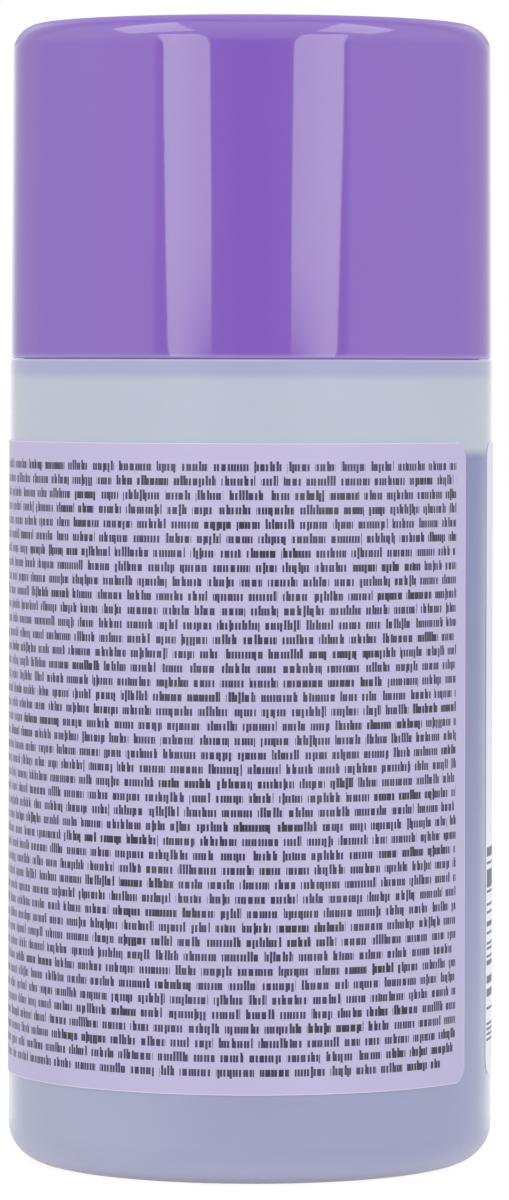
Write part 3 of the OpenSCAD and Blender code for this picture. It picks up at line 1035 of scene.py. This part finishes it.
@dataclass(frozen=True)
class ClearStuff(Finish):
    """A clear or tinted thing that light passes through: the liquid or the valve balls."""

    colour: Colour
    index: float
    rough: float

    def surface(self, graph: Graph) -> Value:
        """Draw the clear stuff, a little paler in places.

        Args:
            graph: The material's graph.

        Returns:
            The shader.
        """
        shade = graph.mix(graph.grain(4)["Tone"], linear(self.colour), linear(self.colour, 1.06))
        return graph.add(
            "BsdfPrincipled", Base_Color=shade, Roughness=self.rough, IOR=self.index, Transmission_Weight=1.0
        )


@dataclass(frozen=True)
class DrawnWire(Finish):
    """Stainless wire with the fine lines that drawing leaves along it."""

    name: str = "drawn_wire"
    colour: Colour = (196, 198, 202)
    rough: float = 0.24

    def surface(self, graph: Graph) -> Value:
        """Draw the wire's metal, darker in its lines.

        Args:
            graph: The material's graph.

        Returns:
            The shader.
        """
        grain = graph.grain(0.12)
        return graph.add(
            "BsdfPrincipled", Metallic=1.0, Normal=graph.bump(grain, 0.002),
            Base_Color=graph.mix(grain["Tone"], linear(self.colour, 0.8), linear(self.colour)),
            Roughness=graph.marks(1.0) * 0.2 + self.rough,
        )


@dataclass(frozen=True)
class FoamLiner(Finish):
    """The closed-cell foam of the neck gasket, with its small cells."""

    name: str = "foam_liner"
    colour: Colour = (232, 231, 222)
    rough: float = 0.8
    cells: float = 4500.0

    def surface(self, graph: Graph) -> Value:
        """Draw the foam, with painted shade in its pits.

        Args:
            graph: The material's graph.

        Returns:
            The shader.
        """
        # Painted shade in the foam's pits.
        pit = graph.add("TexVoronoi", Vector=graph.where(), Scale=self.cells)["Distance"].step(0.1, 0.5)
        return graph.add(
            "BsdfPrincipled", Base_Color=graph.mix(pit, linear(self.colour), linear(self.colour, 0.86)),
            Roughness=graph.marks(0.5) * -0.1 + self.rough, Normal=graph.bump(pit, 0.03),
        )


# Sub-assemblies


@dataclass
class Bottle:
    """The blow-moulded bottle: foot, wall, ledge, land, shoulder and threaded neck."""

    wall_r: float = 30.9
    wall_t: float = 1.2
    ledge_z: float = 102.4
    land_r: float = 28.97
    land_z: float = 109.0
    shelf_r: float = 26.17
    shoulder_r: float = 16.7
    neck_z: float = 111.4
    neck_r: float = 14.9
    mouth_r: float = 12.6
    ring_r: float = 16.8
    ring_z: float = 112.6
    ring_t: float = 1.3
    lip_z: float = 123.0
    base_t: float = 1.6
    foot_fillet: float = 5.0
    dome_r: float = 22.5
    push_up: float = 2.2
    level: float = 90.6
    thread_z: float = 115.5

    def dome(self, lift: float, steps: int = 10) -> list[tuple[float, ...]]:
        """Draw the base's dome from the axis to its edge.

        Args:
            lift: How far above the outer dome this one lies.
            steps: Steps of the arc.

        Returns:
            Corners from the axis outwards.
        """
        sphere = (self.dome_r ** 2 + self.push_up ** 2) / (2 * self.push_up) + lift
        middle = self.push_up + lift - sphere
        reach = math.sqrt(sphere ** 2 - (lift - middle) ** 2)
        radii = [reach * k / steps for k in range(steps + 1)]
        return [(r, middle + math.sqrt(sphere ** 2 - r * r)) for r in radii]

    def profile(self) -> Outline:
        """Draw the bottle's section, outside first and then inside.

        Returns:
            Corners from the axis under the base to the axis above it.
        """
        wall = self.wall_t
        return self.dome(0.0)[:-1] + [
            (self.dome_r, 0, 0.8),
            (self.wall_r, 0, self.foot_fillet),
            (self.wall_r, self.ledge_z, 0.22),
            (self.land_r, self.ledge_z, 0.3),
            (self.land_r, self.land_z, 0.8),
            (self.shelf_r, self.land_z, 0.5),
            (self.shoulder_r, self.neck_z, 0.5),
            (self.neck_r, self.neck_z, 0.5),
            (self.neck_r, self.ring_z, 0.2),
            (self.ring_r, self.ring_z, 0.4),
            (self.ring_r, self.ring_z + self.ring_t, 0.4),
            (self.neck_r, self.ring_z + self.ring_t, 0.2),
            (self.neck_r, self.lip_z, 0.4),
            (self.mouth_r, self.lip_z, 0.4),
            (self.mouth_r, self.neck_z - wall),
            (self.shelf_r - wall, self.land_z - wall),
            (self.land_r - wall, self.land_z - wall, 0.8),
            (self.land_r - wall, self.ledge_z - wall),
            (self.wall_r - wall, self.ledge_z - wall),
            (self.wall_r - wall, self.base_t, self.foot_fillet - wall),
        ] + self.dome(self.base_t)[::-1]

    def build(self) -> None:
        """Turn the shell, add the neck's thread and dress them."""
        shell = turned("bottle_shell", self.profile(), fine=10)
        join(shell, [Thread("neck_ridge", Hand.OUTWARD, self.neck_r, self.thread_z, 200.0, 1.45).ridge()])
        smooth(shell)
        material = FrostedWall(level=self.level, ledge=self.ledge_z).build()
        place(shell, Body.BOTTLE, "frosted_bottle", material, "bottle")


@dataclass
class Labels:
    """The two film labels that wrap the bottle's wall."""

    inner_r: float = 30.92
    film_t: float = 0.06
    low: float = 11.5
    high: float = 92.0
    corner: float = 2.1
    span: float = 165.352
    back_middle: float = -112.0
    strips: int = 120

    @property
    def width(self) -> float:
        """The flat width of one label."""
        return math.radians(self.span) * self.inner_r

    @property
    def height(self) -> float:
        """The flat height of one label."""
        return self.high - self.low

    def film_map(self, piece: Piece) -> None:
        """Lay a flat label's own UV map from its flat place.

        Args:
            piece: The label while it is still flat and centred on the origin.
        """
        layer = piece.data.uv_layers[0]
        layer.name = "film"
        for loop in piece.data.loops:
            spot = piece.data.vertices[loop.vertex_index].co / MM
            layer.data[loop.index].uv = (spot.x / self.width + 0.5, spot.z / self.height + 0.5)

    def sheet(self, name: str, middle: float) -> Piece:
        """Cut a flat label, round its corners and wrap it on the wall.

        Args:
            name: The piece's name.
            middle: Angle of the label's middle.

        Returns:
            The wrapped film.
        """
        piece = fresh(name, bpy.ops.mesh.primitive_plane_add, size=1.0, rotation=(math.pi / 2, 0, 0))
        piece.scale = (self.width * MM, self.height * MM, 1.0)
        settle(piece)
        with editing(piece):
            bpy.ops.mesh.bevel(offset=self.corner * MM, segments=8, profile=0.5, affect="VERTICES")
            for k in range(1, self.strips):
                across = (k / self.strips - 0.5) * self.width * MM
                bpy.ops.mesh.select_all(action="SELECT")
                bpy.ops.mesh.bisect(plane_co=(across, 0, 0), plane_no=(1, 0, 0))
        self.film_map(piece)
        apply(
            piece, "SIMPLE_DEFORM", deform_method="BEND", deform_axis="Z", angle=math.radians(self.span)
        )
        with editing(piece):
            middle_z = (self.low + self.high) / 2
            bpy.ops.transform.translate(value=(0, -self.inner_r * MM, middle_z * MM))
        apply(piece, "SOLIDIFY", thickness=self.film_t * MM, offset=1.0)
        turn(piece, middle + 90)
        smooth(piece)
        return piece

    def build(self) -> None:
        """Make and dress both labels."""
        back = self.sheet("back_label_film", self.back_middle)
        front = self.sheet("front_label_film", self.back_middle + 180)
        lilac = BackFilm(width=self.width, height=self.height).build()
        white = FrontFilm(width=self.width, height=self.height).build()
        place(back, Body.BOTTLE, "lilac_label", lilac, "back_label")
        place(front, Body.BOTTLE, "white_label", white, "front_label")


@dataclass
class Overcap:
    """The violet overcap with its grip ribs and the moulding gate's dimple."""

    foot_r: float = 30.75
    top_r: float = 30.59
    wall_t: float = 1.3
    foot_z: float = 102.45
    band_z: float = 103.5
    upper_z: float = 140.9
    top_z: float = 145.2
    ceiling_z: float = 143.6
    top_fillet: float = 3.6
    foot_fillet: float = 0.28
    gate_r: float = 1.6
    gate_depth: float = 0.4
    ribs: int = 12
    rib_t: float = 1.2
    rib_z: float = 104.1
    grip_r: float = 29.05
    grip_z: float = 105.15
    stop_r: float = 27.17
    land_z: float = 109.0
    stop_h: float = 5.0
    stop_face: float = 1.2
    # The finish paints a highlight and a glow on the cap's foot, below about 102.85 mm.
    finish: MouldedPlastic = MouldedPlastic(
        "violet_gloss", (132, 94, 189), 0.055, grain=1.6, depth=0.0006, tone=0.012, marks=0.25,
        tint=(247, 255, 204), painted_foot_light=(152, 130, 196), foot_light_top=102.85, foot_glow=0.08, satin_from=144.5,
    )

    def profile(self) -> Outline:
        """Draw the overcap's section from the top's centre to the ceiling's centre.

        Returns:
            Corners, outside first.
        """
        wall = self.wall_t
        gate_z = self.ceiling_z + self.gate_depth
        return [
            (0, self.top_z),
            (self.top_r, self.top_z, self.top_fillet),
            (self.top_r, self.upper_z),
            (self.foot_r, self.band_z),
            (self.foot_r, self.foot_z, self.foot_fillet),
            (self.foot_r - wall, self.foot_z, self.foot_fillet),
            (self.foot_r - wall, self.band_z),
            (self.top_r - wall, self.upper_z),
            (self.top_r - wall, self.ceiling_z, self.top_fillet - wall),
            (self.gate_r, self.ceiling_z, 0.1),
            (self.gate_r, gate_z, 0.1),
            (0, gate_z),
        ]

    def rib(self) -> Piece:
        """Make one grip rib with the stop that rests on the bottle's shelf.

        Returns:
            The rib, its root inside the overcap's wall.
        """
        root = self.foot_r - self.wall_t / 2
        outline = [
            (root, self.rib_z),
            (self.grip_r, self.grip_z, 0.3),
            (self.grip_r, self.land_z),
            (self.stop_r, self.land_z, 0.2),
            (self.stop_r, self.land_z + self.stop_face, 0.4),
            (root, self.land_z + self.stop_h),
        ]
        return plate("grip_rib", outline, self.rib_t)

    def build(self) -> None:
        """Turn the shell, add the ribs and dress them."""
        shell = turned("overcap_shell", self.profile(), steps=320, fine=20)
        join(shell, ring_of(self.rib(), self.ribs, 180 / self.ribs))
        smooth(shell)
        place(shell, Body.OVERCAP, "violet_cap", self.finish.build(), "overcap")


@dataclass
class Collar:
    """The screw collar with its finger ribs and inner thread."""

    finish: Material
    inner_r: float = 16.35
    outer_r: float = 18.25
    foot_z: float = 114.4
    under_z: float = 125.6
    top_z: float = 127.2
    hole_r: float = 8.25
    thread_z: float = 117.08
    ribs: int = 52
    rib_low: float = 115.7
    rib_high: float = 125.9
    rib_r: float = 18.85
    rib_half: float = 0.58
    rib_sink: float = 0.4
    rib_bevel: float = 0.16

    def profile(self) -> Outline:
        """Draw the collar's section as a loop.

        Returns:
            Corners, from the thread's foot outwards.
        """
        return [
            (self.inner_r, self.foot_z, 0.25),
            (self.outer_r, self.foot_z, 0.4),
            (self.outer_r, self.top_z, 1.0),
            (self.hole_r, self.top_z, 0.3),
            (self.hole_r, self.under_z),
            (self.inner_r, self.under_z, 0.3),
        ]

    def rib(self) -> Piece:
        """Make one finger rib: a bar whose crest is narrower than its root, with round edges.

        Returns:
            The rib, its root inside the collar's wall.
        """
        root = self.outer_r - self.rib_sink
        low, high = self.rib_low, self.rib_high
        piece = fresh("finger_rib", bpy.ops.mesh.primitive_cube_add, size=1.0)
        piece.scale = ((self.rib_r - root) * MM, 2 * self.rib_half * MM, (high - low) * MM)
        piece.location = ((self.rib_r + root) / 2 * MM, 0, (high + low) / 2 * MM)
        settle(piece)
        with editing(piece):
            bpy.ops.mesh.select_all(action="DESELECT")
        for vertex in piece.data.vertices:
            vertex.select = vertex.co.x > self.outer_r * MM
        with editing(piece, False):
            bpy.ops.transform.resize(value=(1.0, 0.5, 0.93))
            bpy.ops.mesh.bevel(offset=self.rib_bevel * MM, segments=3, profile=0.5, affect="EDGES")
        tidy(piece)
        return piece

    def build(self) -> None:
        """Turn the collar, add its thread and its ribs, and dress it."""
        shell = turned("ribbed_collar", self.profile(), steps=208)
        ridge = Thread("collar_ridge", Hand.INWARD, self.inner_r, self.thread_z, 155.0, 1.05).ridge()
        join(shell, [ridge] + ring_of(self.rib(), self.ribs))
        smooth(shell)
        place(shell, Body.COLLAR, "white_polypropylene", self.finish, "screw_collar")


@dataclass
class Pump:
    """The pump's inner pieces: the coiled spring, and the parts of the frame that stay."""

    finish: Material
    spring_r: float = 4.8
    wire: float = 0.8
    seat_z: float = 99.1
    length: float = 14.5
    clear: float = 0.02
    turns: float = 6.5
    steps: int = 40
    stroke: float = 5.5

    def spring(self) -> Piece:
        """Coil the return spring from a round wire.

        Returns:
            The spring as a closed mesh.
        """
        half = self.wire / 2
        steps = round(self.steps * self.turns)
        piece = fresh(
            "return_coil", bpy.ops.mesh.primitive_circle_add, vertices=16, radius=half * MM,
            rotation=(math.pi / 2, 0, 0),
            location=(self.spring_r * MM, 0, (self.seat_z + self.clear + half) * MM),
        )
        settle(piece)
        apply(
            piece, "SCREW", axis="Z", angle=FULL_TURN * self.turns, steps=steps, render_steps=steps,
            screw_offset=(self.length - self.wire - 2 * self.clear) * MM,
        )
        with editing(piece):
            bpy.ops.mesh.select_all(action="DESELECT")
            bpy.ops.mesh.select_non_manifold()
            bpy.ops.mesh.edge_face_add()
        tidy(piece)
        only(piece)
        bpy.ops.object.shade_smooth_by_angle(angle=math.radians(50))
        return piece

    def build(self) -> Piece:
        """Coil the spring and dress the pump's other parts.

        Returns:
            The spring.
        """
        natural = MouldedPlastic("natural_plastic", (222, 226, 226), 0.34, grain=0.3, depth=0.003, glow=0.3)
        dress_nodes(natural.build(), "pump_housing", "dip_tube", "piston")
        dress_nodes(self.finish, "stem_guide", "pump_stem")
        glass = ClearStuff("valve_glass", (226, 240, 238), 1.5, 0.02)
        dress_nodes(glass.build(), "inlet_ball", "outlet_ball")
        dress_nodes(FoamLiner().build(), "neck_gasket")
        dress_nodes(ClearStuff("remover_liquid", (176, 178, 226), 1.36, 0.03).build(), "remover_liquid")
        coil = self.spring()
        place(coil, Body.PUMP, "spring_wire", DrawnWire().build(), "return_spring")
        fixed = (0, 0, self.seat_z * MM)
        keep = (self.length - self.stroke) / self.length
        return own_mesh(coil)


@dataclass
class Dish:
    """The press dish with its hub and stiffening ribs, and the nozzle cap in its middle."""

    finish: Material
    rim_r: float = 23.0
    rim_t: float = 1.4
    rim_z: float = 138.5
    skirt_z: float = 132.6
    top_z: float = 135.3
    under_z: float = 134.1
    hub_z: float = 133.4
    hub_r: float = 5.0
    stem_r: float = 3.32
    web_z: float = 134.3
    boss_r: float = 4.55
    boss_z: float = 136.5
    socket_r: float = 3.47
    ribs: int = 8
    rib_t: float = 0.9
    rib_sink: float = 0.8
    rib_over: float = 0.6
    nozzle_r: float = 4.3
    head_z: float = 136.52
    head_t: float = 0.9
    shank_r: float = 3.45
    shank_in_r: float = 2.6
    shank_z: float = 135.32
    holes: int = 6
    hole_r: float = 0.45
    holes_at: float = 1.725
    drill_h: float = 3.0

    def profile(self) -> Outline:
        """Draw the dish's section from the web's top to its underside.

        Returns:
            Corners, top first.
        """
        wall_r = self.rim_r - self.rim_t
        return [
            (0, self.top_z),
            (self.socket_r, self.top_z),
            (self.socket_r, self.boss_z, 0.15),
            (self.boss_r, self.boss_z, 0.3),
            (self.boss_r, self.top_z, 0.5),
            (wall_r, self.top_z, 1.6),
            (wall_r, self.rim_z, 0.55),
            (self.rim_r, self.rim_z, 0.55),
            (self.rim_r, self.skirt_z, 0.3),
            (wall_r, self.skirt_z, 0.3),
            (wall_r, self.under_z, 0.3),
            (self.hub_r, self.under_z, 0.2),
            (self.hub_r, self.hub_z, 0.2),
            (self.stem_r, self.hub_z, 0.1),
            (self.stem_r, self.web_z),
            (0, self.web_z),
        ]

    def rib(self) -> Piece:
        """Make one stiffening rib between the hub and the rim.

        Returns:
            The rib, its ends inside both.
        """
        inner = self.hub_r - self.rib_sink
        outer = self.rim_r - self.rim_t / 2
        top = self.under_z + self.rib_over
        outline = [(inner, self.hub_z), (outer, self.hub_z), (outer, top), (inner, top)]
        return plate("dish_rib", outline, self.rib_t)

    def nozzle(self) -> Piece:
        """Turn the nozzle cap and pierce its ring of outlet holes.

        Returns:
            The nozzle cap.
        """
        top = self.head_z + self.head_t
        outline = [
            (0, top),
            (self.nozzle_r, top, 0.45),
            (self.nozzle_r, self.head_z, 0.1),
            (self.shank_r, self.head_z),
            (self.shank_r, self.shank_z, 0.15),
            (self.shank_in_r, self.shank_z, 0.1),
            (self.shank_in_r, self.head_z),
            (0, self.head_z),
        ]
        piece = turned("nozzle_button", outline, steps=96)
        drill = fresh(
            "drill", bpy.ops.mesh.primitive_cylinder_add, vertices=24, radius=self.hole_r * MM,
            depth=self.drill_h * MM, location=(self.holes_at * MM, 0, self.head_z * MM),
        )
        settle(drill)
        join(drill, ring_of(drill, self.holes)[1:])
        apply(piece, "BOOLEAN", operation="DIFFERENCE", object=drill, solver="EXACT")
        bpy.data.objects.remove(drill)
        return piece

    def build(self) -> None:
        """Make and dress the dish and the nozzle cap."""
        dish = turned("press_dish_plate", self.profile(), steps=224)
        join(dish, ring_of(self.rib(), self.ribs))
        smooth(dish)
        nozzle = self.nozzle()
        smooth(nozzle)
        place(dish, Body.ACTUATOR, "white_polypropylene", self.finish, "press_dish")
        place(nozzle, Body.ACTUATOR, "white_polypropylene", self.finish, "nozzle_cap")


# Studio


@dataclass(frozen=True)
class Fade:
    """How a strip lamp's glow falls off towards its inner edge, most of all near its foot."""

    inner: float
    outer: float
    low: float = 0.105
    high: float = 0.15

    def share(self, graph: Graph) -> Value:
        """Give the share of the lamp's level at each place on it.

        Args:
            graph: The lamp's graph.

        Returns:
            A value up to 1.
        """
        x, y, z = graph.parts(graph.where())
        bearing = graph.math("ARCTAN2", x, y * -1.0)
        across = (bearing - math.radians(self.inner)) / math.radians(self.outer - self.inner)
        return z.step(self.low, self.high, across.step(-0.1, 0.8, 0.15, 0.82), across.step(0, 1, 0.85, 1))


@dataclass
class Studio:
    """The white room, the floor, the lamps and the camera."""

    distance: float = 0.8267
    eye: float = 0.1023
    lens: float = 193.4
    shift_x: float = 0.0026
    shift_y: float = -0.2
    roll: float = 0.14
    room_level: float = 0.8
    room_gloss: float = 1.5
    dark_half: float = 46.8
    strip_far: float = 1.3
    strip_level: float = 5.3
    lamp_level: float = 2.0
    panel_up: float = 0.8
    panel_level: float = 5.0
    top_z: float = 0.145

    def room(self) -> None:
        """Light the room: white all round, with the unlit side behind the camera for gloss."""
        world = bpy.data.worlds.new("white_room")
        bpy.context.scene.world = world
        world.use_nodes = True
        graph = Graph(world.node_tree)
        x, y, z = graph.parts(graph.add("TexCoord")["Generated"])
        bearing = abs(graph.math("ARCTAN2", x, y * -1.0)) * math.degrees(1)
        rise = graph.math("ARCSINE", z) * math.degrees(1)
        dark = bearing.step(2, 22, 1.0, 0.75)
        dark = dark * bearing.step(self.dark_half - 2.5, self.dark_half + 2.5, 1.0, 0.0)
        dark = dark * (rise.step(6, 20, 1.0, 0.5) * rise.step(20, 70, 1.0, 0.0))
        around = bearing.step(80, 125, 1.0, 0.55) - bearing.step(126, 140, 0.0, 0.11)
        around = around + bearing.step(150, 168, 0.0, 0.28)
        around = around + rise.step(5, 30, 0.0, 0.3) * bearing.step(120, 140, 1.0, 0.0)
        gloss = (around - dark) * self.room_gloss
        rays = graph.add("LightPath")
        seen = graph.math("MAXIMUM", rays["Is Camera Ray"], rays["Is Transmission Ray"])
        lit = rays["Is Glossy Ray"] * (gloss - self.room_level) + self.room_level
        graph.add("OutputWorld", graph.add("Background", Color=WHITE, Strength=lit + seen * (1.0 - lit)))

    def floor(self) -> None:
        """Lay a pale floor that stays white to the eye and keeps a faint shadow."""
        floor = fresh("floor", bpy.ops.mesh.primitive_plane_add, size=6.0)
        material, graph = new_material("pale_floor")
        rays = graph.add("LightPath")
        seen = graph.math("MAXIMUM", rays["Is Camera Ray"], rays["Is Glossy Ray"])
        seen = graph.math("MAXIMUM", seen, rays["Is Transmission Ray"])
        diffuse = graph.add("BsdfDiffuse", Color=(0.86, 0.86, 0.87, 1.0))
        glow = graph.add("Emission", Color=WHITE, Strength=1.1)
        graph.add("OutputMaterial", graph.add("MixShader", seen * 0.84, diffuse, glow))
        floor.data.materials.append(material)

    def lamp(self, name: str, places: Sequence[Vector], level: float, fade: Fade | None = None) -> None:
        """Hang one glowing panel.

        Args:
            name: The panel's name.
            places: Its corners in metres, in order round it.
            level: How bright gloss sees it.
            fade: How its glow falls off, or nothing for an even one.
        """
        circle = bpy.ops.mesh.primitive_circle_add
        panel = fresh(name, circle, vertices=len(places), radius=1.0, fill_type="NGON")
        for index, spot in zip(panel.data.polygons[0].vertices, places):
            panel.data.vertices[index].co = spot
        material, graph = new_material(name)
        shown = fade.share(graph) * level if fade else level
        glossy = graph.add("LightPath")["Is Glossy Ray"]
        strength = glossy * (shown - self.lamp_level) + self.lamp_level
        graph.add("OutputMaterial", graph.add("Emission", Color=WHITE, Strength=strength))
        panel.data.materials.append(material)
        panel.visible_camera = False
        panel.visible_shadow = False

    def strip(self, name: str, middle: float, outline: Sequence[tuple[float, float]], fade: Fade) -> None:
        """Stand a tall strip lamp in front of the bottle, to one side.

        Args:
            name: The lamp's name.
            middle: Bearing from -Y towards +X that its flat sheet faces, in degrees.
            outline: Its corners as bearing in degrees and height in metres.
            fade: How its glow falls off.
        """
        corners = []
        for bearing, height in outline:
            reach = self.strip_far / math.cos(math.radians(bearing - middle))
            angle = math.radians(bearing)
            corners.append(Vector((reach * math.sin(angle), -reach * math.cos(angle), height)))
        self.lamp(name, corners, self.strip_level, fade)

    def panel(self, name: str, flat: Sequence[tuple[float, float]]) -> None:
        """Hang a panel lamp above and in front of the bottle.

        Args:
            name: The lamp's name.
            flat: Its corners seen from above, in shares of its height.
        """
        up = self.panel_up
        self.lamp(name, [Vector((x * up, y * up, self.top_z + up)) for x, y in flat], self.panel_level)

    def camera(self) -> None:
        """Set the camera at the photograph's place."""
        data = bpy.data.cameras.new("camera")
        data.sensor_width = 36.0
        data.lens = self.lens
        data.shift_x = self.shift_x
        data.shift_y = self.shift_y
        data.clip_start = 0.05
        data.clip_end = 20.0
        eye = bpy.data.objects.new("camera", data)
        bpy.context.scene.collection.objects.link(eye)
        eye.location = (0, -self.distance, self.eye)
        eye.rotation_euler = (math.pi / 2, -math.radians(self.roll), 0)
        bpy.context.scene.camera = eye

    def build(self) -> None:
        """Set up the whole studio."""
        bpy.context.scene.view_settings.view_transform = "Standard"
        self.room()
        self.floor()
        left = [
            (-18.0, 0.0), (-37.5, 0.0), (-39.2, 0.106), (-41.0, 0.153), (-42.3, 0.2), (-44.0, 0.4),
            (-46.5, 0.65), (-50.0, 1.02), (-31.0, 1.02), (-27.0, 0.95), (-24.2, 0.8), (-22.0, 0.6),
            (-20.6, 0.4), (-20.1, 0.25), (-18.8, 0.153),
        ]
        right = [
            (18.0, 0.0), (38.5, 0.0), (40.3, 0.106), (42.2, 0.153), (44.0, 0.2), (45.2, 0.4),
            (47.4, 0.65), (50.8, 1.02), (31.0, 1.02), (27.0, 0.95), (24.2, 0.8), (22.2, 0.6),
            (20.8, 0.4), (20.2, 0.25), (18.6, 0.153),
        ]
        self.strip("strip_lamp_left", -31.5, left, Fade(-18.3, -41.0))
        self.strip("strip_lamp_right", 32.0, right, Fade(18.0, 42.0))
        self.panel("panel_lamp_left", [(-0.946, 0.075), (-0.33, 0.115), (-0.54, -0.828), (-1.414, -0.607)])
        self.panel("panel_lamp_right", [(1.0, 0.075), (0.4, 0.115), (0.61, -0.828), (1.36, -0.607)])
        self.camera()


def main() -> None:
    """Build the scene, piece by piece."""
    logging.basicConfig(level=logging.INFO, format="%(name)s %(message)s")
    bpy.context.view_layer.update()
    plastic = MouldedPlastic("white_plastic", (226, 226, 223), 0.26, grain=0.4, depth=0.0025, glow=0.15)
    white = plastic.build()
    Bottle().build()
    Labels().build()
    Overcap().build()
    Collar(white).build()
    Pump(white).build()
    Dish(white).build()
    Studio().build()
    log.info("sizes written")


if __name__ == "__main__":
    main()
